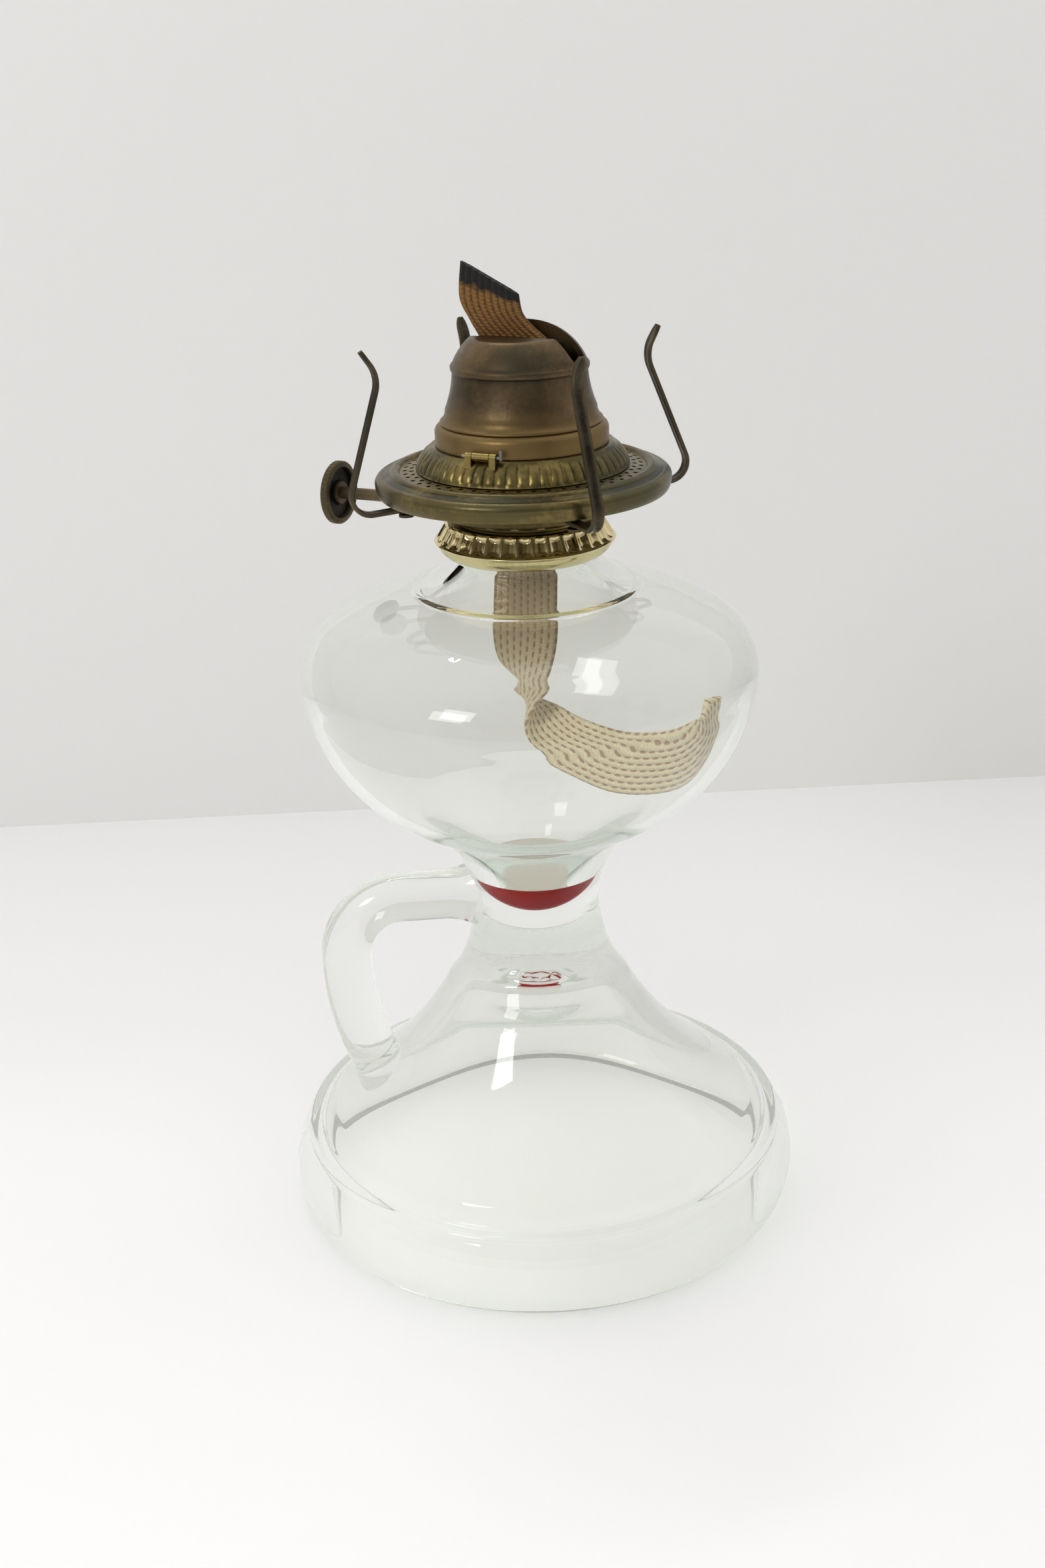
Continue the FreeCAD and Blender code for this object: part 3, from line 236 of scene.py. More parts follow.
# ---------------------------------------------------------------- materials
class Nodes:
    """A material's node tree, with short ways to add the nodes used here."""

    def __init__(self, name):
        self.material = bpy.data.materials.new(name)
        self.material.use_nodes = True
        self.tree = self.material.node_tree
        self.tree.nodes.clear()
        self.output = self.tree.nodes.new("ShaderNodeOutputMaterial")

    def add(self, kind, inputs=None, **settings):
        node = self.tree.nodes.new("ShaderNode" + kind)
        for key, value in settings.items():
            setattr(node, key, value)
        for key, value in (inputs or {}).items():
            if isinstance(value, bpy.types.NodeSocket):
                self.tree.links.new(value, node.inputs[key])
            else:
                node.inputs[key].default_value = value
        return node

    def place(self, scale=(1, 1, 1)):
        position = self.add("TexCoord").outputs["Object"]
        return self.add("Mapping", {"Vector": position, "Scale": scale}).outputs[0]

    def noise(self, scale, detail=4.0, where=None, roughness=0.55):
        inputs = {"Scale": scale, "Detail": detail, "Roughness": roughness, "Vector": where or self.place()}
        return self.add("TexNoise", inputs).outputs["Fac"]

    def ramp(self, fac, stops):
        node = self.add("ValToRGB", {"Fac": fac})
        band = node.color_ramp
        while len(band.elements) < len(stops):
            band.elements.new(0.5)
        for element, (position, colour) in zip(band.elements, stops):
            element.position = position
            element.color = (*colour, 1) if len(colour) == 3 else colour
        return node.outputs["Color"]

    def math(self, operation, first, second=0.0, clamp=False):
        return self.add("Math", {0: first, 1: second}, operation=operation, use_clamp=clamp).outputs[0]

    def mix(self, fac, first, second, blend="MIX"):
        node = self.add("Mix", data_type="RGBA", blend_type=blend)
        for index, value in ((0, fac), (6, first), (7, second)):
            if isinstance(value, bpy.types.NodeSocket):
                self.tree.links.new(value, node.inputs[index])
            else:
                node.inputs[index].default_value = value if index == 0 else (*value, 1)
        return node.outputs[2]

    def bump(self, height, strength, distance):
        inputs = {"Height": height, "Strength": strength, "Distance": distance}
        return self.add("Bump", inputs).outputs["Normal"]

    def shade(self, **inputs):
        shader = self.add("BsdfPrincipled", {key.replace("_", " "): value for key, value in inputs.items()})
        self.tree.links.new(shader.outputs[0], self.output.inputs["Surface"])
        return self.material


def grey(value):
    """An RGB triple of one value."""
    return (value, value, value)


def brass(name, bright, dark, stain, dirt=0.5, shine=(0.22, 0.5), grain=1.0, gild=None):
    """Brass that is bright on worn edges, dark in hollows and on broad patches, with stains.

    gild gives two heights: below the first the heat has left it golden, above the second it is brown.
    """
    n = Nodes(name)
    cloud = n.noise(70 * grain, 5.0)
    fine = n.noise(900 * grain, 3.0)
    edges = n.ramp(n.add("NewGeometry").outputs["Pointiness"], [(0.47, grey(0)), (0.56, grey(1))])
    worn = n.math("ADD", n.math("MULTIPLY", cloud, 0.9), n.math("MULTIPLY", fine, 0.25))
    worn = n.math("SUBTRACT", worn, dirt)
    worn = n.math("MULTIPLY", worn, 3.0, clamp=True)
    base = n.mix(worn, dark, bright)
    base = n.mix(n.math("MULTIPLY", edges, 0.55), base, bright)
    patch = n.ramp(n.noise(38 * grain, 3.0, n.place((1, 1.3, 0.8))), [(0.52, grey(0)), (0.66, grey(1))])
    base = n.mix(n.math("MULTIPLY", patch, 0.55), base, stain)
    hollow = n.ramp(n.add("NewGeometry").outputs["Pointiness"], [(0.40, grey(1)), (0.495, grey(0))])
    base = n.mix(n.math("MULTIPLY", hollow, 0.8), base, tuple(0.35 * c for c in dark))
    if gild:
        height = n.add("SeparateXYZ", {"Vector": n.place()}).outputs[2]
        height = n.math("ADD", height, n.math("MULTIPLY", n.math("SUBTRACT", cloud, 0.5), 0.012))
        golden = n.add("MapRange", {"Value": height, "From Min": gild[1], "From Max": gild[0]}).outputs[0]
        base = n.mix(n.math("MULTIPLY", golden, 0.65), base, (0.26, 0.170, 0.062))
    roughness = n.add("MapRange", {"Value": worn, "To Min": shine[1], "To Max": shine[0]}).outputs[0]
    bump = n.bump(fine, 0.12, 0.0001)
    return n.shade(Base_Color=base, Metallic=1.0, Roughness=roughness, Normal=bump)


def make_glass():
    """Clear glass that lets lamps' rays through, and lets out light that has turned in it too often."""
    n = Nodes("clear_glass")
    ripple = n.bump(n.noise(26, 1.0), 0.05, 0.002)
    glass = n.add("BsdfPrincipled", {
        "Base Color": (0.955, 0.965, 0.940, 1), "Roughness": 0.0, "IOR": GLASS_INDEX,
        "Transmission Weight": 1.0, "Normal": ripple,
    })
    clear = n.add("BsdfTransparent", {"Color": (0.93, 0.945, 0.925, 1)})
    path = n.add("LightPath")
    trapped = n.math("GREATER_THAN", path.outputs["Ray Depth"], MOST_TURNS)
    mirrored = n.math("GREATER_THAN", path.outputs["Glossy Depth"], MOST_MIRRORS)
    trapped = n.math("MAXIMUM", trapped, mirrored)
    mixed = n.add("MixShader", {0: n.math("MAXIMUM", path.outputs["Is Shadow Ray"], trapped)})
    n.tree.links.new(glass.outputs[0], mixed.inputs[1])
    n.tree.links.new(clear.outputs[0], mixed.inputs[2])
    n.tree.links.new(mixed.outputs[0], n.output.inputs["Surface"])
    return n.material


def make_fuel():
    """Red oil, almost opaque, with an index near one."""
    n = Nodes("red_oil")
    tone = n.mix(n.noise(60, 2.0), (0.46, 0.008, 0.006), (0.26, 0.005, 0.004))
    return n.shade(Base_Color=tone, Roughness=0.02, IOR=1.08, Transmission_Weight=0.1)


def make_fuel_top_painted_reflection():
    """The oil's upper face, partly clear; its pale colour is a painted reflection of the bright room on the
    oil.
    """
    n = Nodes("oil_top_painted_reflection")
    # pale tone: painted reflection of the room, not the red oil's own colour
    tone = n.mix(n.noise(90, 2.0), (0.74, 0.71, 0.62), (0.70, 0.63, 0.55))
    return n.shade(Base_Color=tone, Roughness=0.05, IOR=1.44, Transmission_Weight=0.35)


def make_plaster():
    n = Nodes("plaster")
    tone = n.mix(n.noise(300), (0.72, 0.68, 0.58), (0.85, 0.82, 0.75))
    return n.shade(Base_Color=tone, Roughness=0.9, Normal=n.bump(n.noise(900), 0.3, 0.0002))


def make_wick(name, light, dark, mark, burnt=None, soaked=None):
    """Woven cotton. The UV map's first number runs across in millimetres, its second lengthwise."""
    n = Nodes(name)
    uv = n.add("SeparateXYZ", {"Vector": n.add("TexCoord").outputs["UV"]})
    across, along = uv.outputs[0], uv.outputs[1]
    ribs = n.math("ABSOLUTE", n.math("SINE", n.math("MULTIPLY", across, math.pi / RIB_SPACING)))
    column = n.math("FLOOR", n.math("ADD", n.math("DIVIDE", across, RIB_SPACING), 0.5))
    odd = n.math("MODULO", n.math("ABSOLUTE", column), 2.0)
    shift = n.math("MULTIPLY", odd, STITCH_LENGTH / 2)
    stitch_place = n.math("ADD", along, shift)
    stitch = n.math("ABSOLUTE", n.math("SINE", n.math("MULTIPLY", stitch_place, math.pi / STITCH_LENGTH)))
    weave = n.math("ADD", along, n.math("MULTIPLY", ribs, 0.35))
    weave = n.math("SINE", n.math("MULTIPLY", weave, math.pi / WEAVE_LENGTH))
    weave = n.math("ABSOLUTE", weave)
    height = n.math("ADD", n.math("MULTIPLY", ribs, 0.7), n.math("MULTIPLY", weave, 0.25))
    fibre = n.noise(2600, 3.0)
    height = n.math("ADD", height, n.math("MULTIPLY", fibre, 0.35))
    tone = n.mix(n.math("MULTIPLY", height, 0.8, clamp=True), dark, light)
    dash = n.math("MULTIPLY", n.math("SUBTRACT", 1.0, ribs), stitch)
    dash = n.ramp(dash, [(0.38, grey(0)), (0.52, grey(1))])
    tone = n.mix(n.math("MULTIPLY", dash, 0.8), tone, mark)
    tone = n.mix(n.math("MULTIPLY", n.noise(120, 3.0), 0.35), tone, dark)
    if soaked:
        wet = n.add("MapRange", {"Value": along, "From Min": soaked[1], "From Max": soaked[0]}).outputs[0]
        wet = n.math("MULTIPLY", wet, 0.72)
        tone = n.mix(wet, tone, (0.15, 0.088, 0.045))
    if burnt:
        ragged = n.math("ADD", along, n.math("MULTIPLY", n.math("SUBTRACT", n.noise(420, 3.0), 0.5), 3.0))
        char = n.add("MapRange", {"Value": ragged, "From Min": burnt[0], "From Max": burnt[1]}).outputs[0]
        tone = n.mix(char, tone, (0.010, 0.009, 0.008))
    return n.shade(
        Base_Color=tone, Roughness=0.92,
        Normal=n.bump(height, 0.7, 0.0006),
    )


glass = make_glass()
fuel = make_fuel()
fuel_top_painted_reflection = make_fuel_top_painted_reflection()
plaster = make_plaster()
collar_brass = brass(
    "collar_brass", (0.78, 0.66, 0.36), (0.38, 0.31, 0.15), (0.55, 0.47, 0.28), 0.25, (0.12, 0.3),
)
old_brass = brass(
    "old_brass", (0.32, 0.24, 0.09), (0.046, 0.041, 0.021), (0.070, 0.074, 0.046), 0.55, (0.18, 0.36),
)
crown_brass = brass(
    "crown_brass", (0.40, 0.30, 0.10), (0.034, 0.030, 0.015), (0.055, 0.056, 0.032), 0.54, (0.16, 0.36),
)
dome_brass = brass(
    "dome_brass", (0.20, 0.135, 0.068), (0.050, 0.037, 0.024), (0.062, 0.060, 0.040), 0.50, (0.28, 0.45),
    gild=(0.1955, 0.2010),
)
prong_brass = brass(
    "prong_brass", (0.12, 0.095, 0.058), (0.028, 0.024, 0.019), (0.042, 0.039, 0.032), 0.52, (0.3, 0.5),
)
knob_brass = brass(
    "knob_brass", (0.17, 0.13, 0.07), (0.028, 0.023, 0.017), (0.04, 0.036, 0.024), 0.55, (0.3, 0.55),
)
wire_steel = brass(
    "wire_steel", (0.30, 0.28, 0.24), (0.06, 0.055, 0.05), (0.12, 0.10, 0.08), 0.5, (0.3, 0.5),
)
font_wick = make_wick(
    "cotton_tail", (0.80, 0.71, 0.50), (0.66, 0.55, 0.37), (0.30, 0.17, 0.11), soaked=(36, 58),
)
top_wick = make_wick(
    "cotton_tip", (0.30, 0.145, 0.034), (0.055, 0.025, 0.008), (0.09, 0.04, 0.012), burnt=(13.0, 14.2),
)

# ---------------------------------------------------------------- glass
# the glass, as (radius, height, bow): its outer side, the font's cavity and the hollow in the foot
OUTER = [
    (60.8, 0), (60.0, 18.2, 2.9), (59.0, 19.6, 0.35), (57.4, 19.7), (56.4, 20.5, -0.2),
    (52.6, 23.6, -0.35), (22.6, 57, -2.8), (16.5, 70, -0.9), (15.1, 80, -0.3),
    (29.5, 102, -3.2), (53.4, 135, 5.3), (47, 149.5, 2.1), (26.7, 157.6, 1.0), (26.2, 158.6),
    (16.4, 165.6, -1.2), (16.4, 171),
]
CAVITY = [
    (13.6, 171), (13.6, 163.2), (24.0, 155.7, 1.2), (24.6, 154.7), (44.6, 147.2, -1.0), (50.5, 135, -2.1),
    (27.2, 103.6, -5.3), (9.5, 86.0, 2.2), (2, 78.2, -1.6), (0, 78.2),
]
HOLLOW = [
    (0, 61.2), (2, 61.1), (10, 59.3, -0.5), (17.0, 54.6, -0.8), (22.0, 48.0, -0.2),
    (54.6, 17.2, 2.6), (56.6, 0, -2.0),
]
SCAR_RADIUS = 7.4

HANDLE_START = (-13.9, 0, 80.6)
HANDLE_BAR = 19.1
HANDLE_SIDE = 1.5
HANDLE_BEND = 14.3
HANDLE_SWEEP = 72.0
HANDLE_LEAN = math.radians(26)
ROD_HIGH, ROD_WIDE = 6.15, 5.9
ROD_SIDES = 48


def outer_radius(z):
    """The glass's outer radius at a height."""
    for (r0, z0), (r1, z1) in zip(OUTER_LINE, OUTER_LINE[1:]):
        if z0 <= z <= z1:
            return r0 + (r1 - r0) * (z - z0) / (z1 - z0)
    return OUTER_LINE[0][0]


def glass_detail(r, z, angle):
    """Adds the mould seam on the foot's band and the ragged scar inside the foot."""
    if z < 24 and r > 58:
        seam = max(math.exp(-((angle - place) / 0.02) ** 2) for place in (0.0, math.pi, 2 * math.pi))
        return r + 0.3 * seam, z
    if 54 < z < 61 and 4.5 < r < 10.5:
        ragged = (
            0.55 + 0.25 * math.sin(3 * angle + 1) + 0.2 * math.sin(7 * angle)
            + 0.15 * math.sin(16 * angle + 2)
        )
        return r, z - 1.1 * ragged * math.exp(-((r - SCAR_RADIUS) / 0.7) ** 2)
    return r, z


OUTER_LINE = outline(OUTER)


def seat_ring(ring, direction, depth):
    """Moves the points of a ring along direction until they are depth inside the glass's outer side."""
    seated = []
    for point in ring:
        low, high = -16.0, 16.0
        for _ in range(30):
            middle = (low + high) / 2
            moved = Vector(point) + direction * middle
            outside = math.hypot(moved.x, moved.y) > outer_radius(moved.z) - depth
            low, high = (low, middle) if outside else (middle, high)
        seated.append(tuple(Vector(point) + direction * low))
    return seated


def handle_shape():
    """A bent glass rod, thicker where it is pressed on to the stem and the foot."""
    path, heading = [], []
    start = Vector(HANDLE_START)
    bend, sweep, lean = HANDLE_BEND, HANDLE_SWEEP, HANDLE_LEAN
    for i in range(1, 20):
        path.append(start + Vector((-i, 0, 0)))
        heading.append(math.pi)
    corner = start + Vector((-HANDLE_BAR, 0, -bend))
    for i in range(17):
        turn = math.pi / 2 + math.pi / 2 * i / 16
        path.append(corner + Vector((bend * math.cos(turn), 0, bend * math.sin(turn))))
        heading.append(turn + math.pi / 2)
    low = path[-1] + Vector((0, 0, -HANDLE_SIDE))
    centre = low + Vector((sweep, 0, 0))
    for i in range(21):
        turn = math.pi + lean * i / 20
        path.append(centre + Vector((sweep * math.cos(turn), 0, sweep * math.sin(turn))))
        heading.append(turn + math.pi / 2)
    travelled, rings = 0.0, []
    lengths = [0.0]
    for before, after in zip(path, path[1:]):
        travelled += (after - before).length
        lengths.append(travelled)
    for point, turn, length in zip(path, heading, lengths):
        to_stem = max(0.0, 1 - length / 8.0)
        to_foot = max(0.0, 1 - (travelled - length) / 6.0)
        inward = Vector((-math.sin(turn), 0, math.cos(turn)))
        high = ROD_HIGH * (1 + 0.42 * to_stem ** 2 + 0.16 * to_foot ** 2)
        wide = ROD_WIDE * (1 + 0.16 * to_stem ** 2 + 0.22 * to_foot ** 2)
        angles = [2 * math.pi * k / ROD_SIDES for k in range(ROD_SIDES)]
        rings.append([
            tuple(point + inward * high * math.cos(angle) + Vector((0, wide, 0)) * math.sin(angle))
            for angle in angles
        ])
    rings.insert(0, seat_ring(rings[0], Vector((-1, 0, 0)), 1.3))
    last = heading[-1]
    rings.append(seat_ring(rings[-1], -Vector((math.cos(last), 0, math.sin(last))), 2.0))
    ends = [
        tuple(sum((Vector(p) for p in ring), Vector()) / len(ring)) for ring in (rings[0], rings[-1])
    ]
    return tube(rings, ends)


hollow_line = soften(outline(HOLLOW), 1.1, least=math.radians(6))[:-1] + [HOLLOW[-1][:2]]
glass_line = hollow_line + outline(OUTER) + outline(CAVITY)
glass_line = soften(glass_line, 0.6)
lamp_glass = piece(
    "lamp_glass", lathe(glass_line, 240, change=glass_detail), glass, None,
    replaces=[name for name in nodes if name.startswith("glass_")],
)
handle = piece("handle_blank", handle_shape(), glass, None)
combine(lamp_glass, handle, "UNION")
lamp_glass.data.shade_smooth()
lamp_glass.data.set_sharp_from_angle(angle=GLASS_SHARP)
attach(lamp_glass, "lamp")

# fuel, a hair larger than the cavity so that no air shows between oil and glass
FUEL_SKIN = 0.06
fuel_line = outline([(0, 78.2 - FUEL_SKIN), (2, 78.2 - FUEL_SKIN), (9.5 + FUEL_SKIN, 86.0, 1.6)], 0.8)
fuel_line += [(9.65, 86.3), (9.1, 86.0), (8.2, 85.85), (6.5, 85.75), (0, 85.75)]
oil = piece(
    "oil", lathe(fuel_line, 96), fuel, "lamp", replaces=["fuel_pool"], sharp=math.radians(60),
)
# the oil's upper faces take the pale painted reflection
oil.data.materials.append(fuel_top_painted_reflection)
for face in oil.data.polygons:
    if face.normal.z > 0.5:
        face.material_index = 1
nodes["collar_plaster"].data.materials.clear()
nodes["collar_plaster"].data.materials.append(plaster)

# ---------------------------------------------------------------- collar
FLUTES = 34
COLLAR = [
    (16.7, 165.5), (17.3, 165.5), (20.3, 168.5, 0.5), (20.8, 168.95), (20.8, 169.15), (20.3, 169.5),
    (18.25, 172.9), (17.2, 173.65, 0.25), (11.15, 173.65), (11.15, 165.5), (11.9, 165.5), (11.9, 173.05),
    (16.9, 173.05), (19.4, 169.3), (18.9, 168.3),
]


def flutes(r, z, angle):
    """Round-ended hollows down the collar's cone."""
    if not (169.5 < z < 173.3 and r > 17.3):
        return r, z
    along = (z - 169.5) / 3.6
    end = max(0.0, min(1.0, along / 0.22, (1 - along) / 0.22)) ** 0.5
    wave = abs(math.cos(angle * FLUTES / 2))
    depth = 0.62 * end * max(0.0, wave - 0.25) / 0.75
    return r - depth, z - depth * 0.3


collar_line = soften(outline(COLLAR, 0.6), 0.18, closed=True)
fine_line = []
for (r0, z0), (r1, z1) in zip(collar_line, collar_line[1:] + collar_line[:1]):
    fine_line.append((r0, z0))
    if z0 > 169.4 and z1 > 169.4 and r0 > 18 and r1 > 18 and math.hypot(r1 - r0, z1 - z0) > 1.5:
        fine_line += [(r0 + (r1 - r0) * i / 12, z0 + (z1 - z0) * i / 12) for i in range(1, 12)]
piece(
    "collar_fluted", lathe(fine_line, FLUTES * 16, closed=True, change=flutes), collar_brass, "lamp",
    replaces=["collar"],
)

# ---------------------------------------------------------------- crown
RIBS = 58


def ribs(r, z, angle):
    """Rounded upright ribs round the crown's side."""
    if not (186.0 < z < 190.2 and r > 20.9):
        return r, z
    end = max(0.0, min(1.0, (z - 186.0) / 0.8, (190.2 - z) / 0.7)) ** 0.5
    wave = abs(math.sin(angle * RIBS / 2)) ** 0.8
    return r + 0.38 * end * (wave - 0.45), z


CROWN = [
    (23.6, 185.7), (24.2, 185.7), (23.9, 186.2), (21.35, 190.1, 0.35), (20.9, 190.5), (20.2, 190.9, 0.1),
    (18.2, 190.9), (18.2, 190.35), (20.0, 190.35), (20.6, 190.0), (23.1, 186.2, -0.3),
]
crown_line = soften(outline(CROWN, 0.35), 0.15, closed=True)
piece(
    "crown_ribbed", lathe(crown_line, RIBS * 12, closed=True, change=ribs), crown_brass, "burner", BURNER,
    replaces=["crown"],
)

# ---------------------------------------------------------------- dome
DOME = [
    (18.95, 191.0), (19.5, 191.0), (19.5, 194.2), (18.1, 195.6, 0.3), (17.9, 196.4, 0.3),
    (17.0, 198.8, -0.25),
    (15.1, 206.9, -0.35), (15.5, 207.8, 0.1), (15.0, 208.8, 0.2), (2, 217.5, 2.35), (0, 217.5), (0, 216.95),
    (2, 216.95), (14.45, 208.7, -2.2), (14.55, 206.9), (16.45, 198.8, 0.35), (17.35, 196.1), (18.95, 193.9),
]
LIP_HEIGHT = 214.3


def pressed_lip(r, z, angle):
    """Presses the cap on the hinge's side of the flame slot down to a nearly flat lip."""
    if z < 208:
        return r, z
    side = max(0.0, min(1.0, r * math.sin(angle) / 3.2))
    side = side * side * (3 - 2 * side)
    cap = 217.55 - 8.75 * (min(r, 15.0) / 15.0) ** 2.95
    return r, z - 0.88 * side * max(0.0, cap - LIP_HEIGHT)


dome = piece(
    "dome_shell", lathe(outline(DOME, 0.7), 180, change=pressed_lip), dome_brass, None, BURNER,
    replaces=["deflector_dome"],
)
slot_line = [(14.9, -3.5), (14.9, 3.5), (-14.9, 3.5), (-14.9, -3.5)]
slot_line = soften(slot_line, 2.0, closed=True)
cutter = piece(
    "slot_cutter", tube([[(x, y, z) for x, y in slot_line] for z in (208.9, 219.0)]), dome_brass, None,
    BURNER,
)
combine(dome, cutter, "DIFFERENCE")
dome.data.shade_smooth()
dome.data.set_sharp_from_angle(angle=SHARP_ANGLE)
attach(dome, "dome")

# ---------------------------------------------------------------- prongs
PRONG_PATH = (
    ("run", 10.0, 0), ("bend", 111, 4.4), ("run", 22.3, 0), ("bend", -51, 7.0), ("run", 3.4, 0),
)
PRONG_SECTION = [
    (-1.35, 0.35), (-1.2, 0.55), (-0.75, 0.55), (-0.5, 0.5), (0, 0.42), (0.5, 0.5), (0.75, 0.55),
    (1.2, 0.55), (1.35, 0.35), (1.3, -0.35), (0.95, -0.5), (0.6, -0.28), (0, -0.12), (-0.6, -0.28),
    (-0.95, -0.5), (-1.3, -0.35),
]


def prong_shape():
    """A spring strip with a groove down its outer face, along the CAD prong's path."""
    path, heading = [], []
    here, turn = Vector((0, 0)), 0.0
    for kind, amount, radius in PRONG_PATH:
        if kind == "run":
            steps = max(2, round(amount / 1.0))
            for i in range(steps):
                path.append(here + Vector((math.cos(turn), math.sin(turn))) * amount * i / steps)
                heading.append(turn)
            here = here + Vector((math.cos(turn), math.sin(turn))) * amount
            continue
        side = math.copysign(1, amount)
        centre = here + Vector((-math.sin(turn), math.cos(turn))) * radius * side
        steps = 14
        for i in range(steps):
            now = turn + math.radians(amount) * i / steps
            path.append(centre + Vector((math.sin(now), -math.cos(now))) * radius * side)
            heading.append(now)
        turn += math.radians(amount)
        here = centre + Vector((math.sin(turn), -math.cos(turn))) * radius * side
    path.append(here)
    heading.append(turn)
    rings = []
    total = len(path)
    for i, (point, now) in enumerate(zip(path, heading)):
        normal = Vector((-math.sin(now), math.cos(now)))
        tip = min(1.0, (total - 1 - i) / 2.5)
        width = 0.45 + 0.55 * math.sqrt(tip)
        ring = []
        for across, out in PRONG_SECTION:
            spot = point + normal * out
            ring.append((spot.x, across * width, spot.y))
        rings.append(ring)
    return tube(rings)


# degrees that each prong leans, and where it stands round the burner
PRONG_LEANS = {
    "prong_hinge_left": 4.0, "prong_hinge_right": -1.0, "prong_back_left": 3.0, "prong_back_right": -1.0,
}
PRONG_TURNS = {
    "prong_hinge_left": 42, "prong_hinge_right": 138, "prong_back_right": 222, "prong_back_left": 318,
}
PRONG_OUT, PRONG_UP, PIVOT_OUT = 25.1, 178.3, 2.4
for label, lean in PRONG_LEANS.items():
    pivot = Matrix.Translation((PIVOT_OUT * MM, 0, 0))
    place = (
        BURNER @ Matrix.Rotation(math.radians(PRONG_TURNS[label]), 4, "Z")
        @ Matrix.Translation((PRONG_OUT * MM, 0, PRONG_UP * MM))
        @ pivot @ Matrix.Rotation(math.radians(lean), 4, "Y") @ pivot.inverted()
    )
    piece(
        label + "_strip", prong_shape(), prong_brass, label, place, replaces=[label],
    )

# ---------------------------------------------------------------- carried-over CAD pieces
CARRIED = {
    "screw_shell": old_brass, "burner_bowl": old_brass, "gallery": old_brass, "air_distributor": old_brass,
    "wick_tube": dome_brass, "spindle_bracket": old_brass, "vent_tube": old_brass,
    "hinge_ear_left": crown_brass, "hinge_ear_right": crown_brass, "hinge_pin": wire_steel,
    "prong_rivets": prong_brass,
    "dome_hinge_leaf": crown_brass, "spindle": knob_brass,
    "spur_wheel_left": knob_brass, "spur_wheel_right": knob_brass, "thumb_knob": knob_brass,
    "wick_strip": top_wick,
}
for name, material in CARRIED.items():
    mesh = nodes[name].data
    mesh.materials.clear()
    mesh.materials.append(material)

# ---------------------------------------------------------------- wick
def cloth(edges, thickness, across=12):
    """A woven strip between two edges: closed mesh and UV map in millimetres, from pairs of points."""
    rows = len(edges)
    lengths = [0.0]
    for (a0, b0), (a1, b1) in zip(edges, edges[1:]):
        lengths.append(lengths[-1] + ((a1 + b1) / 2 - (a0 + b0) / 2).length)
    vertices, uv, rings = [], [], []
    for i, (left, right) in enumerate(edges):
        before = edges[max(i - 1, 0)]
        after = edges[min(i + 1, rows - 1)]
        along = (after[0] + after[1] - before[0] - before[1]).normalized()
        width = right - left
        normal = along.cross(width).normalized()
        ring = []
        for side in (1, -1):
            for k in range(across + 1):
                share = k / across if side == 1 else 1 - k / across
                edge = max(0.0, 1 - (2 * share - 1) ** 8)
                rib = 0.12 * abs(math.sin(share * width.length * math.pi / 1.75))
                out = thickness / 2 * (0.35 + 0.65 * edge) + rib
                spot = left + width * share + normal * side * out
                ring.append(tuple(spot))
                uv.append((share * width.length, lengths[i]))
        rings.append(ring)
    shape = tube(rings)
    return shape, uv, lengths[-1]


TIP_RIGHT = [(-7.6, 0, 211.5), (-6.9, 0, 213.6), (-3.6, 0.6, 216.6), (-1.4, 0.9, 219.4), (-0.5, 0.6, 223.2)]
TIP_LEFT = [(8.3, 0, 211.5), (9.3, 0.1, 213.6), (11.4, 0.6, 217.6), (13.6, 0.8, 222.4), (13.2, 0.4, 230.0)]
right_edge = [Vector(p) for p in smooth_curve(TIP_RIGHT, 30)]
left_edge = [Vector(p) for p in smooth_curve(TIP_LEFT, 30)]
shape, uv, tip_length = cloth(list(zip(right_edge, left_edge)), 1.9, 36)
tip = piece(
    "wick_tip_cloth", shape, top_wick, "wick", BURNER, replaces=["wick_tip"], uv=uv,
    sharp=SOFT_SHARP,
)
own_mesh(tip)

# centre, width direction and half width of the tail, from the tube down and along the font
TAIL = [
    (0, 0, 185, 1, 0, 0, 7.9), (0, 0, 172, 1, 0, 0, 7.9), (0.2, 0.2, 158, 1, 0, 0, 7.9),
    (0.6, 0.4, 146, 1, 0.05, 0, 7.9), (0.9, 0.4, 138, 0.95, -0.3, 0, 7.7),
    (0.4, 0.2, 132.5, 0.6, -0.8, 0.1, 7.0),
    (-1.4, 0.4, 127.6, 0.0, -0.9, 0.45, 6.4), (-5.6, 0.8, 123.2, -0.35, -0.4, 0.85, 6.8),
    (-11.6, 0.8, 119.9, -0.28, -0.05, 0.955, 7.4), (-22.7, 0.2, 116.5, -0.26, 0, 0.965, 7.7),
    (-33.8, -0.6, 117.6, -0.18, 0.02, 0.98, 7.8), (-40.2, -1.6, 121.0, -0.05, 0.12, 0.98, 7.3),
    (-43.4, -2.4, 127.0, 0.05, 0.75, 0.6, 5.0), (-44.2, -2.6, 134.0, 0.3, 0.95, 0.1, 2.6),
]
edges = []
for x, y, z, wx, wy, wz, half in smooth_curve(TAIL, 110):
    direction = Vector((wx, wy, wz)).normalized()
    edges.append((Vector((x, y, z)) - direction * half, Vector((x, y, z)) + direction * half))
shape, uv, tail_length = cloth(edges, 1.7, 36)
tail = piece(
    "wick_tail_cloth", shape, font_wick, None, BURNER, replaces=["wick_tail"], uv=uv,
    sharp=SOFT_SHARP,
)
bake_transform(tail)

# ---------------------------------------------------------------- stage, light and camera
def backdrop_material():
    n = Nodes("pale_stage")
    tone = n.mix(n.noise(3.0, 4.0), (0.80, 0.79, 0.79), (0.83, 0.82, 0.82))
    return n.shade(Base_Color=tone, Roughness=0.55, Normal=n.bump(n.noise(180, 4.0), 0.03, 0.0005))


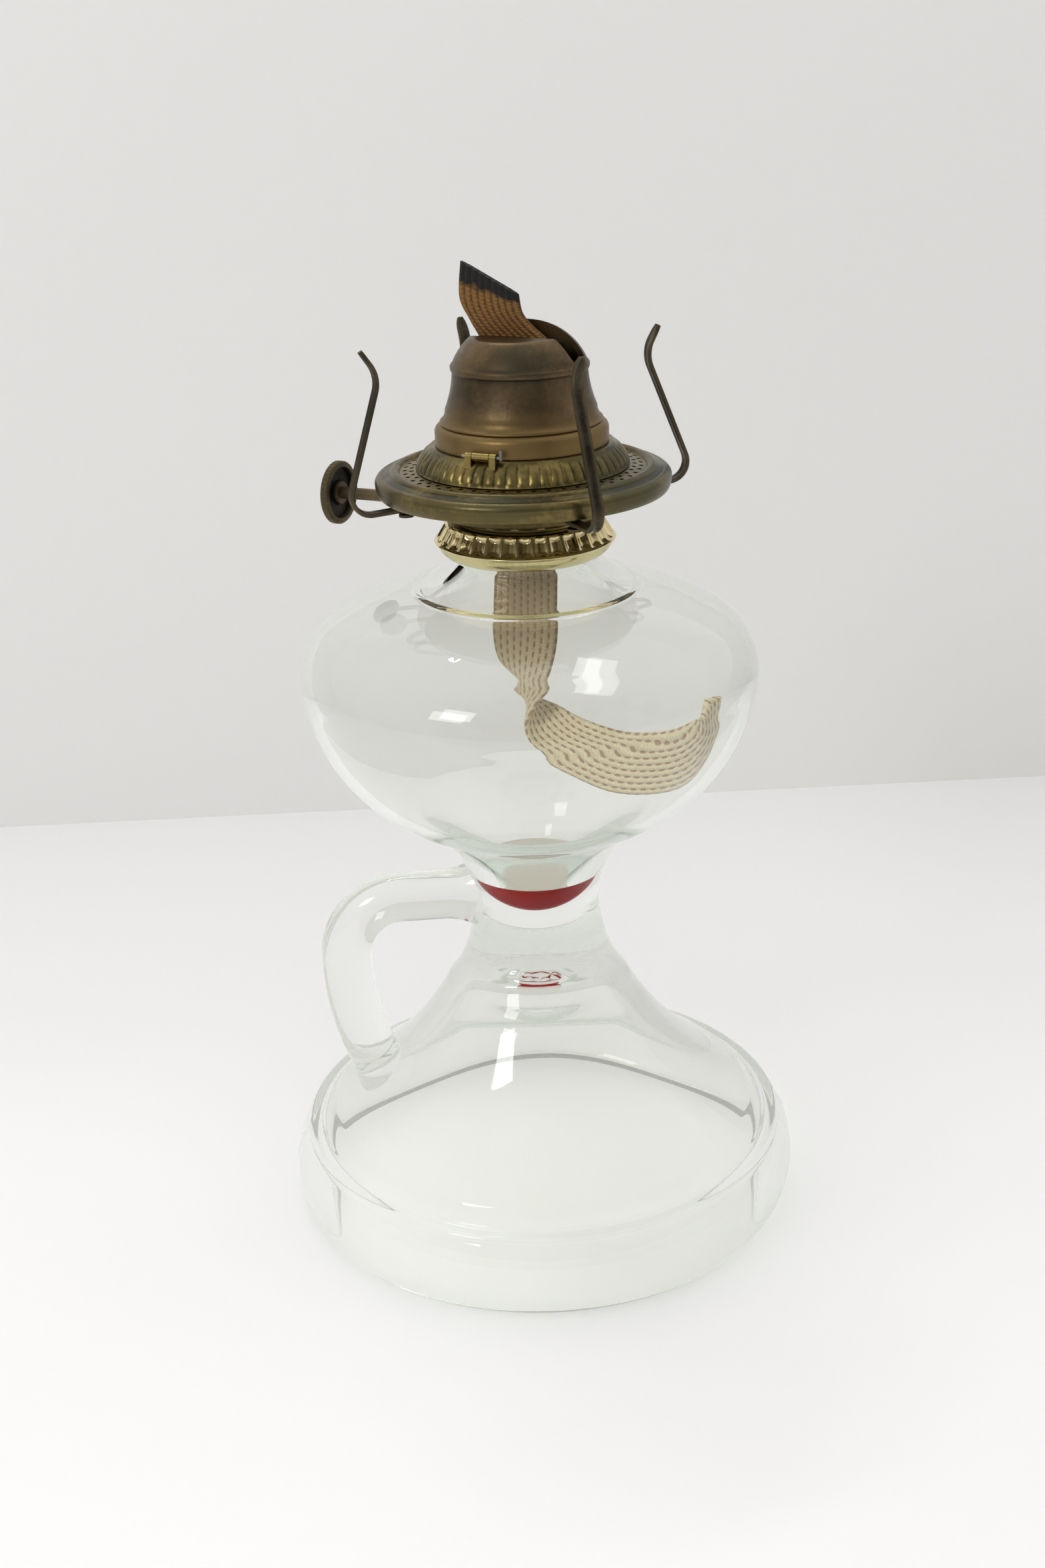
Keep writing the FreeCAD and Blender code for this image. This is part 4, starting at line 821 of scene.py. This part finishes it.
def wall_material():
    """Pale paint that is clear from behind, so that the lamp can be seen from there."""
    n = Nodes("pale_wall")
    tone = n.mix(n.noise(2.0, 3.0), (0.86, 0.855, 0.84), (0.90, 0.89, 0.875))
    paint = n.add("BsdfDiffuse", {"Color": tone})
    clear = n.add("BsdfTransparent")
    mixed = n.add("MixShader", {0: n.add("NewGeometry").outputs["Backfacing"]})
    n.tree.links.new(paint.outputs[0], mixed.inputs[1])
    n.tree.links.new(clear.outputs[0], mixed.inputs[2])
    n.tree.links.new(mixed.outputs[0], n.output.inputs["Surface"])
    return n.material


def plane(name, corners, material):
    """A four-cornered sheet of the stage."""
    mesh = bpy.data.meshes.new(name)
    mesh.from_pydata(corners, [], [(0, 1, 2, 3)])
    mesh.materials.append(material)
    obj = bpy.data.objects.new(name, mesh)
    bpy.context.scene.collection.objects.link(obj)
    return obj


WALL_AWAY, WALL_HIGH = 0.248, 0.5
WALL_TURN = Matrix.Rotation(math.radians(-2.36), 4, "Z")
plane("table", [(-3, -3, 0), (3, -3, 0), (3, 3, 0), (-3, 3, 0)], backdrop_material())
plane(
    "wall",
    [
        WALL_TURN @ Vector(c)
        for c in (
            (-3, WALL_AWAY, 0), (3, WALL_AWAY, 0), (3, WALL_AWAY, WALL_HIGH), (-3, WALL_AWAY, WALL_HIGH),
        )
    ],
    wall_material(),
)


def area_light(name, place, target, size, power, glossy=True):
    """A rectangular lamp of a size in metres and a power in watts, turned to its target."""
    light = bpy.data.lights.new(name, "AREA")
    light.shape = "RECTANGLE"
    light.size, light.size_y = size
    light.energy = power
    obj = bpy.data.objects.new(name, light)
    obj.location = place
    obj.rotation_euler = (Vector(target) - Vector(place)).to_track_quat("-Z", "Y").to_euler()
    obj.visible_glossy = glossy
    bpy.context.scene.collection.objects.link(obj)


area_light("tube", (-0.16, 0.55, 1.25), (0, 0, 0.1), (0.34, 0.05), 1.5)
area_light("ceiling", (-0.3, -0.3, 1.6), (0, 0.05, 0), (1.5, 1.5), 10.0, glossy=False)
area_light("lamp_front", (-0.7, -0.75, 0.75), (0, 0, 0.16), (0.30, 0.30), 2.2)

world = bpy.data.worlds.new("room")
world.use_nodes = True
bpy.context.scene.world = world
tree = world.node_tree
background = tree.nodes["Background"]
coordinates = tree.nodes.new("ShaderNodeTexCoord")
split = tree.nodes.new("ShaderNodeSeparateXYZ")
tree.links.new(coordinates.outputs["Generated"], split.inputs[0])
ramp = tree.nodes.new("ShaderNodeValToRGB")
shift = tree.nodes.new("ShaderNodeMath")
shift.operation = "MULTIPLY_ADD"
shift.inputs[1].default_value = 0.5
shift.inputs[2].default_value = 0.5
tree.links.new(split.outputs["Z"], shift.inputs[0])
tree.links.new(shift.outputs[0], ramp.inputs[0])
side = tree.nodes.new("ShaderNodeMapRange")
side.inputs["From Min"].default_value = -0.9
side.inputs["From Max"].default_value = 0.1
side.inputs["To Min"].default_value = 0.42
side.inputs["To Max"].default_value = 1.0
tree.links.new(split.outputs["Y"], side.inputs["Value"])
shade = tree.nodes.new("ShaderNodeMix")
shade.data_type = "RGBA"
shade.blend_type = "MULTIPLY"
shade.inputs[0].default_value = 1.0
tree.links.new(ramp.outputs[0], shade.inputs[6])
tree.links.new(side.outputs[0], shade.inputs[7])
tree.links.new(shade.outputs[2], background.inputs[0])
ramp.color_ramp.elements[0].position = 0.45
ramp.color_ramp.elements[0].color = (0.62, 0.61, 0.59, 1)
ramp.color_ramp.elements[1].position = 0.95
ramp.color_ramp.elements[1].color = (1.0, 1.0, 1.0, 1)
middle = ramp.color_ramp.elements.new(0.62)
middle.color = (0.80, 0.80, 0.79, 1)
background.inputs[1].default_value = 1.0

camera_data = bpy.data.cameras.new("camera")
camera_data.sensor_fit = "VERTICAL"
camera_data.sensor_height = 36.0
camera_data.lens = 44.25
camera_data.clip_start = 0.01
camera = bpy.data.objects.new("camera", camera_data)
bpy.context.scene.collection.objects.link(camera)
PAN, PITCH, ROLL = math.radians(4.65), math.radians(22.12), math.radians(-1.93)
forward = Vector((math.sin(PAN) * math.cos(PITCH), math.cos(PAN) * math.cos(PITCH), -math.sin(PITCH)))
level = Vector((math.cos(PAN), -math.sin(PAN), 0))
upward = level.cross(forward)
right = level * math.cos(ROLL) + upward * math.sin(ROLL)
top = upward * math.cos(ROLL) - level * math.sin(ROLL)
rotation = Matrix((right, top, -forward)).transposed().to_4x4()
camera.matrix_world = Matrix.Translation((-0.03726, -0.42722, 0.28238)) @ rotation
bpy.context.scene.camera = camera
bpy.context.scene.view_settings.view_transform = "Standard"
